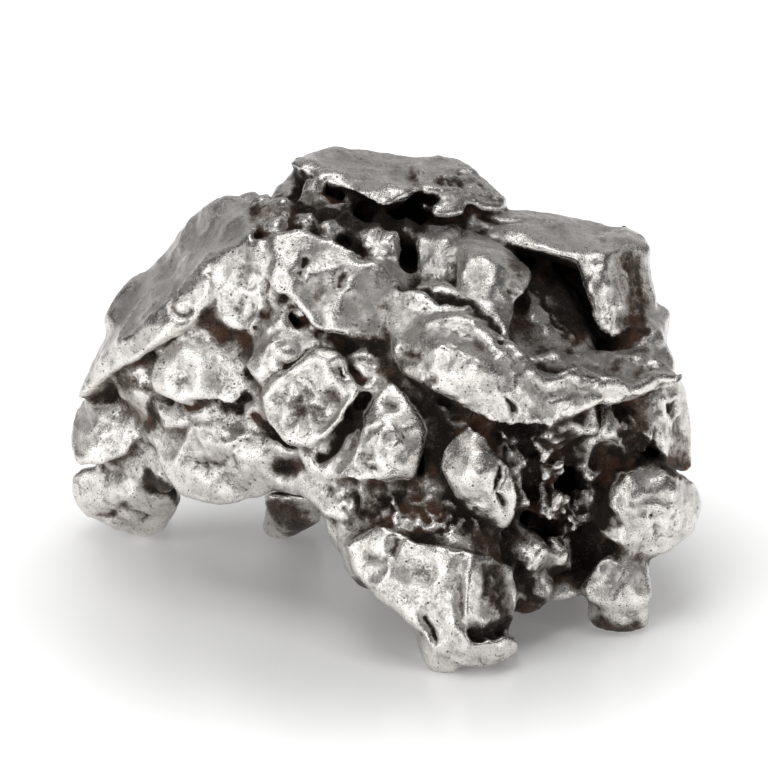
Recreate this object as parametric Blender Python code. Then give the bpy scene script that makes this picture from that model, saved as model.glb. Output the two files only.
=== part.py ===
"""A hand-sized iron meteorite with exposed blocky crystals, as one closed solid.

The mass is built as it looks: lumps, slabs and ledges, each a rounded convex block, grown together
into one skin. Places on its front are written as (across, down, out) in millimetres, in a frame
that is tipped back by VIEW_TIP, the way the stone is looked at. Places on its hidden sides are
written as (x, y, z) in millimetres, with z measured from the surface that it rests on.
"""

import math
import random

import bmesh
import bpy
from mathutils import Euler, Vector
from mathutils.bvhtree import BVHTree

# Real sizes, in millimetres.
MM = 0.001
VIEW_TIP = math.radians(22.0)
FRAME_MIDDLE_ACROSS = 38.4
FRAME_MIDDLE_DOWN = 40.8
FRAME_HEIGHT = 19.2
SKIN_GRAIN = 0.5
EDGE_ROUNDING = 0.7
FOOT_FLAT = 0.35
# A face of a block is flat when its parts turn by less than this.
FLAT_WITHIN = math.radians(4)
# How far a hidden block's corners lie out, as shares of a true box's half sides.
CORNER_SHARES = (0.8, 1.08)
# A hollow is pressed where the surface leans at least this far to the eye and a line of sight
# that starts this far off the surface is free.
LEAST_LEAN = 0.1
SIGHT_START = 0.05
# Where the middle of the stone's footprint lies before it is moved over the origin.
FOOTPRINT_MIDDLE = (0.0, -1.13)

TRIANGLES = 9700
SMOOTHING_PASSES = 3
SEED = 7

# Hollows pressed into the front: across, down, reach and depth, in millimetres.
HOLLOWS = [
    (30.6, 40.4, 4.2, 1.4), (32.4, 29.2, 2.4, 0.6), (36.4, 29.8, 2.6, 0.6), (31.6, 32.2, 2.0, 0.5),
    (36.6, 25.8, 1.4, 0.6), (45.2, 35.0, 2.8, 0.6), (49.4, 39.0, 2.4, 0.5), (22.0, 47.0, 3.2, 0.8),
    (38.4, 45.4, 2.4, 0.7), (40.2, 41.2, 1.6, 0.5), (51.2, 29.0, 1.5, 0.9), (47.8, 28.0, 2.0, 0.5),
    (67.1, 40.8, 1.1, 1.2), (62.4, 50.4, 2.6, 0.6), (66.6, 51.4, 2.2, 0.5), (10.4, 42.6, 3.0, 0.5),
    (11.0, 50.0, 3.0, 0.4), (18.2, 37.4, 2.2, 0.5), (37.4, 56.4, 2.6, 0.5), (43.0, 58.6, 2.8, 0.5),
    (49.4, 60.0, 2.2, 0.7), (58.0, 39.6, 2.4, 0.5), (61.6, 58.6, 2.0, 0.4), (15.6, 28.6, 3.0, 0.4),
]

# Colour and finish of the bare metal.
METAL_COLOUR = (0.42, 0.39, 0.36, 1.0)
METAL_ROUGHNESS = 0.38


def seen(across, down, out):
    """A place on the front, as it is looked at, in the stone's own millimetres."""
    rise = FRAME_MIDDLE_DOWN - down
    y = rise * math.sin(VIEW_TIP) - out * math.cos(VIEW_TIP)
    z = rise * math.cos(VIEW_TIP) + out * math.sin(VIEW_TIP) + FRAME_HEIGHT
    return Vector((across - FRAME_MIDDLE_ACROSS, y, z))


def across_down_out(place):
    """The reverse of seen."""
    z = place.z - FRAME_HEIGHT
    rise = place.y * math.sin(VIEW_TIP) + z * math.cos(VIEW_TIP)
    out = z * math.sin(VIEW_TIP) - place.y * math.cos(VIEW_TIP)
    return place.x + FRAME_MIDDLE_ACROSS, FRAME_MIDDLE_DOWN - rise, out


def add_hull(stone, places, rounding):
    """Adds one convex block round these places, with its edges rounded, to the stone's mesh."""
    block = bmesh.new()
    for place in places:
        block.verts.new(place)
    hull = bmesh.ops.convex_hull(block, input=block.verts)
    inside = [item for item in hull["geom_interior"] if isinstance(item, bmesh.types.BMVert)]
    bmesh.ops.delete(block, geom=inside, context="VERTS")
    bmesh.ops.dissolve_limit(block, angle_limit=FLAT_WITHIN, verts=block.verts, edges=block.edges)
    bmesh.ops.bevel(block, geom=block.edges, offset=rounding, segments=2, profile=0.5,
                    affect="EDGES", clamp_overlap=True)
    bmesh.ops.triangulate(block, faces=block.faces)
    bmesh.ops.recalc_face_normals(block, faces=block.faces)
    mesh = bpy.data.meshes.new("block")
    block.to_mesh(mesh)
    block.free()
    stone.from_mesh(mesh)
    bpy.data.meshes.remove(mesh)


def lump(stone, front, depth, taper=0.8, shift=(0.0, 0.0), rounding=EDGE_ROUNDING):
    """A lump on the front: the outline that is seen, and the same outline drawn in behind it."""
    count = len(front)
    middle = [sum(place[axis] for place in front) / count for axis in range(3)]
    places = [seen(*place) for place in front]
    for across, down, out in front:
        back_across = middle[0] + taper * (across - middle[0]) + shift[0]
        back_down = middle[1] + taper * (down - middle[1]) + shift[1]
        places.append(seen(back_across, back_down, out - depth))
    add_hull(stone, places, rounding)


def crystal(stone, centre, size, turn, shuffle, rounding=1.2):
    """A block on a hidden side: a box with its corners a little out of true, turned in place."""
    rotation = Euler([math.radians(angle) for angle in turn]).to_matrix()
    corners = []
    for side_x in (-1, 1):
        for side_y in (-1, 1):
            for side_z in (-1, 1):
                reach = [0.5 * shuffle.uniform(*CORNER_SHARES) for _ in range(3)]
                corner = Vector((side_x * size[0] * reach[0], side_y * size[1] * reach[1],
                                 side_z * size[2] * reach[2]))
                corners.append(Vector(centre) + rotation @ corner)
    add_hull(stone, corners, rounding)


def add_core(stone):
    """The mass behind all the lumps."""
    upper = [(14, 31.5, -2), (17, 27, -2), (24, 25, 4.5), (30, 23, 0), (36, 22.5, -3), (46, 22.5, -3),
             (56, 25, -3), (62, 27, -3), (24, 36, 5), (31, 35, 7), (40, 34, 8), (50, 33, 7.5),
             (60, 35, 2), (64, 37, 0)]
    add_hull(stone, [seen(*place) for place in upper] + [Vector((-20, 10, 24)), Vector((-6, 13, 33)),
             Vector((15, 11, 29)), Vector((21, 7, 26)), Vector((0, 14, 22)), Vector((-22, 9, 18))], 1.0)
    left = [(11, 37, -3), (15, 34, 0), (22, 33, 4), (16, 40, -1), (22, 41, 2), (13, 42, -8),
            (17, 46, -6), (24, 46, 2)]
    add_hull(stone, [seen(*place) for place in left] + [Vector((-24, 10, 18)), Vector((-20, 12, 8)),
             Vector((-8, 12, 12)), Vector((-14, 12, 24))], 1.0)
    middle = [(17, 38, -2), (22, 38, 4), (30, 36, 7), (36, 36, 7), (44, 37, 9), (50, 38, 9), (60, 40, 2),
              (65, 42, 0), (18, 47, -5), (26, 48, 2), (34, 49, 6), (44, 48, 7), (52, 47, 3),
              (60, 48, 0), (65, 50, 0), (62, 55, 1)]
    add_hull(stone, [seen(*place) for place in middle] + [Vector((-20, 11, 16)), Vector((-8, 13, 10)),
             Vector((8, 12, 8)), Vector((18, 8, 10)), Vector((21, 5, 22)), Vector((0, 14, 26))], 1.0)
    lower = [(33, 50, 6), (40, 52, 9), (48, 54, 8), (56, 54, 0), (36, 57, 6), (44, 60, 6), (50, 61, 5)]
    add_hull(stone, [seen(*place) for place in lower] + [Vector((-4, 8, 8)), Vector((10, 8, 5)),
             Vector((16, 4, 10)), Vector((0, 6, 14))], 1.0)

    back = [(-19, 15, 27), (-5, 17, 31), (9, 17, 27), (20, 12.5, 26), (22, 11, 16), (12, 15.5, 12),
            (-4, 17, 13), (-18, 15.5, 11), (-24, 12.5, 18), (0, 6, 22)]
    add_hull(stone, [Vector(place) for place in back], 1.0)


def add_top_slab(stone):
    """The thin slab along the top, with a broken rim, over a dark hollow."""
    lump(stone, [(28.9, 16.3, -0.6), (30.0, 15.1, -5.0), (32.5, 14.6, -6.0), (34.0, 14.2, -6.5),
                 (40.0, 14.9, -6.0), (45.5, 15.7, -5.0), (47.2, 16.8, -3.5), (41.5, 19.0, 2.2),
                 (38.5, 20.6, 4.2), (35.5, 19.2, 3.2), (32.6, 18.0, 1.5)],
         3.2, taper=0.97, shift=(0.0, 0.8), rounding=0.7)
    lump(stone, [(29.0, 16.6, -1.2), (31.6, 16.8, 0.0), (32.4, 18.6, 0.6), (30.2, 18.4, -0.6)],
         5.0, rounding=0.5)
    lump(stone, [(41.0, 16.2, -2.0), (46.6, 16.5, -3.5), (49.2, 18.2, -3.0), (51.0, 20.6, -1.5),
                 (49.0, 21.2, 0.5), (46.0, 19.4, 1.8), (43.0, 18.2, 2.0), (41.3, 19.2, 2.4)],
         5.0, taper=0.9, rounding=0.5)
    lump(stone, [(43.0, 20.6, 2.6), (44.6, 19.9, 2.4), (46.5, 20.1, 1.8), (46.6, 21.4, 2.2),
                 (44.6, 21.8, 3.0), (43.2, 21.6, 3.2)], 4.0, rounding=0.6)
    lump(stone, [(26.9, 19.2, -1.0), (27.6, 18.2, -1.8), (29.4, 17.9, -1.6), (29.6, 19.8, 0.2),
                 (27.4, 20.2, 0.4)], 6.0, rounding=0.7)
    lump(stone, [(29.6, 20.2, 2.6), (31.0, 19.3, 2.4), (32.9, 20.0, 2.8), (33.0, 21.8, 4.0),
                 (31.4, 22.7, 4.6), (29.8, 21.8, 4.2)], 6.0, rounding=0.9)
    lump(stone, [(25.0, 20.6, 0.6), (27.0, 20.0, 0.4), (29.6, 20.6, 2.0), (29.4, 22.4, 4.0),
                 (25.6, 22.4, 3.6)], 6.0, rounding=0.7)
    lump(stone, [(36.1, 20.2, 0.2), (37.3, 20.4, 0.4), (37.4, 23.4, 1.6), (36.0, 23.4, 1.6)],
         4.0, rounding=0.4)


def add_left_flank(stone):
    """The smooth slab that slopes down to the left, and the bright ledge under it."""
    lump(stone, [(25.2, 23.4, 7.2), (26.6, 20.2, 0.0), (23.7, 19.5, -1.4), (21.6, 19.9, -3.0),
                 (17.8, 22.8, -6.2), (15.4, 26.0, -7.4), (18.2, 28.9, 4.0), (22.8, 25.6, 6.4)],
         5.0, taper=0.85, shift=(1.0, 2.2), rounding=0.6)
    lump(stone, [(18.4, 28.8, 4.0), (15.4, 25.9, -7.2), (13.4, 28.8, -7.6), (11.2, 32.0, -7.6),
                 (10.2, 35.8, -7.4), (7.2, 40.0, -8.4), (9.6, 39.2, -6.0), (10.6, 37.4, -2.6),
                 (11.6, 34.1, -0.6), (15.0, 30.3, 2.2)],
         4.5, taper=0.85, shift=(1.4, 1.6), rounding=0.6)
    lump(stone, [(10.7, 37.6, -2.0), (11.6, 34.5, 0.0), (15.0, 30.9, 3.0), (18.4, 29.4, 4.8),
                 (20.8, 27.4, 5.6), (21.6, 29.6, 6.0), (19.8, 31.9, 5.2), (16.0, 34.2, 4.0),
                 (13.2, 36.3, 1.6)], 5.5, taper=0.85, shift=(1.0, 0.0), rounding=0.7)


def add_shoulder(stone):
    """The broad dented face at the upper middle."""
    lump(stone, [(24.2, 24.3, 7.2), (29.8, 23.0, 8.0), (33.8, 24.1, 8.5), (36.6, 25.6, 9.0),
                 (40.0, 28.0, 9.2), (40.0, 32.0, 9.6), (38.8, 35.2, 9.4), (35.0, 34.4, 9.8),
                 (31.0, 33.4, 10.0), (28.2, 30.0, 9.8), (30.0, 27.0, 9.9), (35.0, 29.0, 10.6)],
         8.0, taper=0.85, rounding=0.8)
    lump(stone, [(21.4, 27.0, 5.8), (25.2, 23.7, 7.4), (27.0, 25.0, 8.2), (27.4, 29.6, 8.6),
                 (26.4, 31.2, 7.9), (24.5, 34.2, 7.0), (22.2, 32.6, 5.8), (21.2, 30.0, 5.4)],
         6.0, taper=0.85, rounding=0.7)
    lump(stone, [(36.0, 25.2, 7.6), (37.4, 24.5, 7.0), (39.8, 25.8, 6.6), (41.4, 28.0, 7.6),
                 (40.0, 28.8, 8.6), (37.0, 27.0, 9.0)], 6.0, rounding=0.5)
    lump(stone, [(39.6, 28.4, 9.6), (42.5, 29.0, 9.8), (46.0, 30.4, 10.6), (48.2, 31.4, 11.0),
                 (50.4, 33.7, 11.6), (47.0, 32.0, 12.0), (43.0, 31.6, 11.4), (40.6, 33.6, 11.0),
                 (39.4, 32.4, 10.2)], 6.0, taper=0.9, rounding=0.5)


def add_left_lumps(stone):
    """The block-shaped crystals at the left, one over the other."""
    lump(stone, [(26.8, 31.2, 7.6), (28.5, 31.4, 8.2), (29.7, 33.2, 8.8), (30.0, 35.6, 8.8),
                 (27.5, 37.1, 8.2), (25.7, 38.6, 7.0), (24.3, 36.4, 6.6), (25.2, 33.9, 7.0),
                 (27.3, 34.4, 9.4)], 6.0, taper=0.8, rounding=0.7)
    lump(stone, [(15.4, 36.0, 1.4), (18.4, 33.3, 3.0), (21.6, 34.9, 5.0), (24.2, 36.8, 6.0),
                 (24.8, 38.8, 6.2), (23.6, 41.0, 5.8), (21.6, 39.8, 5.0), (18.0, 40.3, 3.0),
                 (15.4, 39.2, 1.0), (19.0, 37.2, 4.6)], 7.0, taper=0.8, rounding=0.7)
    lump(stone, [(15.4, 40.4, -0.6), (18.8, 40.3, 1.6), (18.9, 42.8, 1.4), (16.0, 43.3, -0.8)],
         5.0, rounding=0.5)
    lump(stone, [(9.8, 38.9, -9.6), (12.2, 39.6, -7.6), (14.7, 40.6, -6.4), (14.7, 42.2, -6.0),
                 (13.4, 44.4, -6.2), (12.4, 46.0, -7.4), (9.8, 46.6, -9.0), (7.6, 46.4, -10.6),
                 (6.7, 44.6, -11.6), (6.7, 41.2, -11.8), (7.6, 39.8, -11.0), (10.6, 42.4, -6.8)],
         11.0, taper=0.75, shift=(1.6, -1.0), rounding=0.9)
    lump(stone, [(8.4, 46.8, -14.0), (11.8, 46.6, -11.6), (13.2, 46.4, -10.6), (15.4, 47.8, -10.0),
                 (17.9, 49.4, -10.8), (17.2, 51.2, -12.4), (16.2, 53.2, -15.4), (14.5, 54.0, -18.0),
                 (11.0, 53.3, -17.4), (8.2, 51.9, -17.0), (6.6, 49.4, -16.4), (7.0, 47.6, -15.2),
                 (12.2, 50.0, -11.0)], 9.0, taper=0.75, shift=(1.4, -0.6), rounding=0.9)
    lump(stone, [(15.1, 44.0, -4.6), (18.6, 43.0, -0.6), (20.0, 40.1, 2.0), (21.7, 39.9, 3.2),
                 (24.3, 41.7, 5.0), (26.6, 42.4, 6.0), (29.0, 44.6, 6.6), (30.4, 46.6, 6.4),
                 (26.3, 49.9, 3.0), (23.0, 50.9, 0.4), (20.0, 50.4, -1.4), (18.0, 49.4, -2.6),
                 (16.2, 46.8, -3.8), (23.0, 45.4, 5.4)], 8.0, taper=0.8, rounding=0.8)
    lump(stone, [(26.2, 49.4, -7.0), (31.4, 49.6, -5.0), (31.8, 52.4, -9.0), (30.0, 53.0, -11.0),
                 (27.8, 53.5, -19.0), (26.6, 53.2, -14.0)], 7.0, taper=0.9, rounding=0.7)


def add_dish_and_blade(stone):
    """The round dish with a raised rim, and the three-cornered lumps under it."""
    lump(stone, [(25.7, 40.4, 6.8), (26.2, 38.8, 7.6), (28.0, 37.5, 9.0), (31.0, 36.6, 10.2),
                 (32.6, 40.6, 10.8), (31.6, 44.6, 10.4), (29.0, 44.4, 9.4), (26.4, 42.4, 7.6)],
         6.5, taper=0.85, rounding=0.6)
    lump(stone, [(29.4, 37.2, 9.6), (31.6, 35.2, 10.2), (33.6, 35.0, 10.6), (34.6, 36.0, 10.8),
                 (34.4, 37.4, 11.8), (35.6, 40.6, 11.8), (33.8, 43.2, 11.6), (31.4, 44.5, 10.6),
                 (30.0, 41.0, 10.4)], 6.5, taper=0.85, rounding=0.6)
    lump(stone, [(33.6, 37.4, 11.2), (34.8, 37.3, 11.6), (36.4, 38.7, 12.0), (35.8, 40.2, 12.2),
                 (34.0, 41.2, 11.8)], 5.0, taper=0.85, rounding=0.5)
    lump(stone, [(35.4, 38.6, 9.6), (38.2, 38.4, 10.4), (38.6, 41.6, 11.2), (35.4, 41.8, 10.4)],
         7.0, rounding=0.5)
    lump(stone, [(36.4, 38.8, 11.4), (38.6, 36.6, 10.0), (38.9, 37.4, 10.4), (36.8, 39.8, 11.6)],
         5.0, taper=0.8, rounding=0.3)
    lump(stone, [(38.9, 37.8, 11.2), (40.4, 39.2, 12.2), (42.4, 42.0, 13.2), (42.2, 44.0, 13.6),
                 (41.7, 46.4, 13.6), (41.6, 48.0, 13.4), (38.0, 48.2, 13.2), (35.0, 48.2, 12.6),
                 (33.4, 48.0, 11.6), (34.8, 45.6, 12.4), (36.6, 42.6, 13.0), (37.2, 40.2, 12.4),
                 (38.6, 43.2, 14.6), (39.6, 46.0, 14.4)], 7.0, taper=0.75, shift=(0.0, -1.0), rounding=0.6)
    lump(stone, [(29.4, 46.4, 7.0), (32.4, 46.6, 9.8), (34.4, 47.4, 11.4), (36.9, 48.4, 12.0),
                 (36.2, 50.0, 11.6), (34.4, 52.3, 10.6), (32.2, 51.6, 9.2), (30.0, 49.4, 7.2)],
         6.5, taper=0.8, rounding=0.6)
    lump(stone, [(32.0, 51.2, 7.4), (34.6, 52.0, 9.0), (35.4, 54.6, 10.0), (34.2, 55.4, 8.4),
                 (32.8, 53.2, 6.8)], 6.0, rounding=0.6)


def add_bulge(stone):
    """The big bulging lump at the middle, and the almond that hangs under it."""
    lump(stone, [(40.2, 33.2, 11.2), (41.8, 31.8, 11.6), (45.0, 31.2, 12.2), (47.2, 31.7, 13.2),
                 (49.8, 33.5, 14.6), (51.8, 34.6, 15.2), (52.3, 37.0, 15.8), (53.0, 39.0, 16.0),
                 (54.6, 42.6, 15.6), (49.8, 42.8, 15.8), (47.2, 40.4, 16.0), (45.6, 38.8, 15.6),
                 (42.2, 38.2, 14.0), (40.2, 37.2, 12.4), (44.4, 34.6, 16.0), (48.0, 36.6, 17.4),
                 (50.4, 39.8, 17.6)], 8.0, taper=0.8, rounding=1.0)
    lump(stone, [(45.0, 43.2, 15.0), (47.0, 42.2, 14.6), (48.6, 43.4, 15.2), (49.8, 45.4, 16.0),
                 (51.2, 47.4, 16.2), (51.9, 49.6, 15.8), (51.4, 52.0, 14.4), (50.6, 52.8, 13.8),
                 (49.2, 51.8, 15.0), (46.8, 51.2, 15.2), (45.2, 49.6, 15.2), (43.9, 46.8, 15.0),
                 (44.0, 44.8, 15.0), (47.4, 47.0, 17.8), (49.4, 49.4, 17.2)],
         6.0, taper=0.7, rounding=1.0)
    lump(stone, [(44.6, 41.0, 10.0), (50.0, 42.6, 12.0), (50.0, 46.0, 12.6), (45.4, 45.0, 12.0)],
         6.0, rounding=0.8)


def add_ledge(stone):
    """The wavy ledge that runs out to the right from the bulge."""
    lump(stone, [(52.2, 36.4, 14.4), (54.4, 38.3, 14.6), (57.4, 37.4, 13.2), (60.4, 38.5, 12.2),
                 (60.2, 40.0, 12.4), (57.6, 41.2, 13.6), (54.8, 43.0, 15.0), (52.6, 42.6, 15.2),
                 (55.0, 40.4, 15.6)], 6.0, taper=0.8, rounding=0.6)
    lump(stone, [(58.4, 36.9, 8.0), (61.6, 35.7, 6.0), (64.6, 34.4, 4.0), (66.0, 34.2, 2.6),
                 (67.6, 36.2, 3.6), (67.7, 38.0, 6.2), (64.2, 38.7, 8.8), (60.6, 38.7, 11.6),
                 (63.2, 39.7, 8.8), (60.0, 40.2, 11.4)], 6.0, taper=0.85, rounding=0.6)
    lump(stone, [(63.4, 36.8, 7.2), (65.6, 35.6, 6.0), (67.5, 36.6, 5.0), (67.4, 38.0, 6.0),
                 (64.6, 38.2, 8.2)], 4.0, rounding=0.6)
    lump(stone, [(53.0, 36.0, 9.6), (55.8, 36.0, 9.0), (56.4, 37.6, 11.0), (53.4, 37.8, 12.0)],
         4.0, rounding=0.5)


def add_right_top(stone):
    """The grey-topped blocks at the upper right, with a hollow between them."""
    lump(stone, [(41.2, 23.7, 5.8), (43.0, 22.0, -1.4), (44.6, 21.8, -1.6), (46.0, 22.5, 0.6),
                 (45.0, 23.8, 6.4), (44.9, 28.4, 7.6), (41.4, 28.4, 7.2), (43.0, 25.6, 7.4)],
         6.0, taper=0.9, rounding=0.4)
    lump(stone, [(46.3, 22.6, 0.4), (48.6, 23.8, 1.6), (51.2, 25.2, 3.6), (53.3, 27.4, 7.8),
                 (53.0, 29.8, 9.0), (50.4, 31.0, 9.9), (46.2, 29.8, 9.4), (45.8, 25.5, 8.4),
                 (49.4, 26.2, 9.2), (49.6, 29.0, 10.4)], 6.0, taper=0.85, rounding=0.45)
    lump(stone, [(42.0, 24.4, 2.6), (43.6, 22.4, -2.0), (46.6, 22.8, -1.0), (50.6, 25.6, 2.6),
                 (52.4, 28.8, 5.8), (50.4, 30.4, 7.8), (46.0, 29.2, 7.4), (42.4, 28.0, 5.0)],
         6.0, taper=0.85, rounding=0.5)
    lump(stone, [(48.0, 29.6, 9.2), (51.8, 29.6, 9.0), (51.6, 31.6, 10.0), (50.6, 33.8, 11.2),
                 (48.4, 31.6, 10.8)], 5.0, rounding=0.6)
    lump(stone, [(47.2, 20.6, -3.2), (51.6, 20.9, -4.8), (55.0, 21.7, -4.6), (59.4, 22.4, -4.0),
                 (61.6, 22.0, -5.0), (64.2, 23.0, -4.0), (64.8, 24.8, -1.0), (61.0, 25.2, 4.6),
                 (57.4, 25.8, 5.0), (52.0, 24.6, 3.0), (48.6, 23.6, 1.2)],
         2.4, taper=0.96, shift=(0.4, 1.2), rounding=0.6)
    lump(stone, [(60.6, 22.3, -3.6), (62.6, 22.0, -4.6), (64.4, 23.4, -3.4), (64.9, 25.0, -0.8),
                 (62.6, 24.2, 1.0), (60.8, 23.6, 0.0)], 4.0, rounding=1.0)
    lump(stone, [(57.6, 25.8, 4.8), (60.8, 25.0, 4.6), (64.8, 24.6, -1.0), (65.0, 26.8, -0.6),
                 (66.0, 30.4, 0.6), (65.6, 31.9, 1.0), (63.0, 33.0, 3.6), (61.0, 34.0, 5.2),
                 (59.8, 32.0, 5.6), (59.0, 29.4, 5.4), (60.0, 28.0, 6.0)],
         8.0, taper=0.85, rounding=0.8)
    lump(stone, [(53.0, 28.6, 2.6), (56.4, 28.0, 0.6), (58.6, 32.4, 2.0), (59.4, 34.6, 4.6),
                 (55.4, 34.8, 7.0), (52.6, 33.6, 7.4), (52.4, 30.6, 5.6)], 6.0, rounding=0.5)
    lump(stone, [(56.0, 34.6, 7.4), (58.6, 34.0, 6.4), (59.3, 36.4, 7.8), (56.6, 36.9, 9.0)],
         5.0, rounding=0.5)


def add_right_flank(stone):
    """The right end: the flank with a ring-shaped pit, the large end lump and the small nub."""
    lump(stone, [(65.8, 36.0, 1.0), (68.4, 38.4, 0.2), (69.4, 41.4, -1.6), (69.6, 44.0, -2.2),
                 (69.0, 47.2, -1.6), (66.4, 47.0, 3.0), (65.8, 44.0, 4.4), (66.2, 39.6, 4.8)],
         9.0, taper=0.8, shift=(-1.0, 0.0), rounding=0.9)
    lump(stone, [(63.2, 40.6, 4.4), (66.2, 39.8, 4.6), (66.4, 44.4, 4.2), (63.4, 44.4, 4.6)],
         5.0, rounding=0.8)
    lump(stone, [(60.4, 47.4, 5.4), (62.6, 45.3, 3.6), (66.0, 46.0, 3.0), (69.3, 48.2, 1.8),
                 (70.3, 50.2, 1.2), (69.6, 53.2, 2.0), (67.2, 54.8, 4.0), (65.2, 56.0, 5.6),
                 (62.0, 55.0, 7.2), (59.6, 53.6, 7.4), (59.0, 51.6, 7.0), (62.4, 48.0, 8.0),
                 (66.2, 47.8, 6.8), (68.4, 50.6, 5.4), (64.6, 51.8, 8.0)], 9.0, taper=0.8,
         shift=(-1.0, 0.0), rounding=0.6)
    lump(stone, [(57.9, 59.0, 6.6), (59.0, 56.2, 6.6), (60.4, 54.9, 6.6), (63.0, 56.0, 6.8),
                 (65.1, 56.4, 5.0), (65.0, 59.0, 5.0), (64.4, 60.8, 5.4), (61.0, 61.0, 7.0),
                 (58.6, 60.2, 6.8), (61.4, 58.2, 7.8)], 7.0, taper=0.85, shift=(0.0, -1.2), rounding=0.5)
    lump(stone, [(58.4, 60.2, 4.6), (61.0, 60.4, 6.6), (64.6, 60.6, 4.6), (64.4, 62.4, 3.6),
                 (62.4, 63.6, 4.2), (60.2, 63.4, 3.6), (58.9, 62.2, 3.4), (61.8, 62.4, 6.2)],
         5.0, taper=0.85, shift=(0.0, -0.6), rounding=0.7)


def add_hollow_walls(stone):
    """The dark lumps and thin ribs that line the large hollow at the lower right."""
    lump(stone, [(49.4, 43.2, 7.6), (53.0, 43.2, 7.6), (53.2, 46.6, 6.6), (50.6, 47.4, 7.0)],
         4.0, rounding=0.5)
    lump(stone, [(53.2, 44.6, 8.4), (53.9, 44.8, 8.4), (52.9, 47.6, 7.6), (52.2, 47.2, 7.4)],
         4.0, rounding=0.25)
    lump(stone, [(55.0, 43.2, 9.6), (55.6, 43.4, 9.6), (55.2, 45.8, 7.6), (53.8, 48.2, 6.4),
                 (53.2, 47.8, 6.0)], 5.0, rounding=0.25)
    lump(stone, [(55.6, 42.8, 8.0), (57.6, 43.2, 7.6), (57.2, 44.8, 7.0), (55.6, 44.6, 7.2)],
         4.0, rounding=0.5)
    lump(stone, [(57.4, 46.0, 3.6), (59.8, 45.6, 3.0), (60.2, 48.8, 3.4), (57.8, 49.2, 4.2)],
         4.0, rounding=0.6)
    lump(stone, [(54.0, 49.0, 4.6), (56.4, 48.2, 4.2), (58.4, 49.6, 4.0), (58.2, 53.0, 4.6),
                 (56.0, 53.6, 5.4), (54.0, 52.0, 5.4)], 5.0, rounding=0.6)
    lump(stone, [(50.8, 57.4, 10.6), (52.0, 56.2, 10.2), (54.4, 56.4, 9.0), (55.4, 58.2, 8.4),
                 (55.0, 60.2, 8.2), (53.4, 61.7, 8.4), (51.2, 61.4, 9.8), (52.8, 58.8, 11.0)],
         7.0, taper=0.9, rounding=0.7)
    lump(stone, [(54.6, 57.2, 5.0), (58.8, 56.4, 5.0), (59.0, 59.6, 5.2), (54.8, 60.4, 6.4)],
         6.0, rounding=0.6)


def add_front_foot(stone):
    """The large foot at the front, with its folded lip and its small side lobe."""
    lump(stone, [(34.3, 54.2, 12.6), (36.2, 53.4, 13.0), (37.6, 52.4, 13.4), (39.6, 53.2, 14.6),
                 (42.6, 54.3, 16.0), (45.4, 55.2, 17.0), (47.4, 55.2, 16.8), (46.8, 58.4, 17.6),
                 (46.4, 61.6, 17.6), (47.2, 64.4, 16.8), (46.2, 66.6, 15.4), (43.2, 64.8, 15.6),
                 (41.4, 61.8, 15.4), (38.6, 59.6, 14.0), (35.6, 57.6, 12.6)],
         8.0, taper=0.85, rounding=0.8)
    lump(stone, [(33.9, 54.4, 9.6), (35.4, 55.0, 11.8), (37.4, 57.4, 12.8), (37.8, 59.0, 11.8),
                 (36.0, 58.4, 9.8), (34.5, 56.4, 8.8)], 6.0, rounding=0.8)
    lump(stone, [(47.0, 55.4, 16.6), (49.0, 55.6, 14.8), (51.4, 56.4, 12.4), (51.6, 60.0, 12.2),
                 (50.6, 63.6, 13.4), (48.6, 63.8, 16.2), (46.6, 60.0, 17.2)],
         7.0, taper=0.85, rounding=0.6)
    lump(stone, [(45.4, 64.2, 16.4), (48.0, 63.8, 16.8), (50.4, 63.2, 15.6), (51.7, 63.6, 14.2),
                 (52.0, 65.0, 13.8), (50.8, 66.2, 14.0), (48.6, 66.6, 14.6), (46.2, 66.6, 15.2),
                 (46.6, 65.0, 16.4), (49.6, 64.6, 16.2)],
         5.0, taper=0.85, rounding=1.1)
    lump(stone, [(41.2, 61.8, 13.4), (43.0, 62.6, 14.8), (45.6, 64.8, 15.2), (46.0, 66.8, 14.6),
                 (44.8, 67.5, 13.8), (43.2, 67.1, 13.6), (41.8, 65.6, 13.4), (43.4, 65.0, 15.6)],
         5.0, taper=0.85, rounding=1.1)


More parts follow.
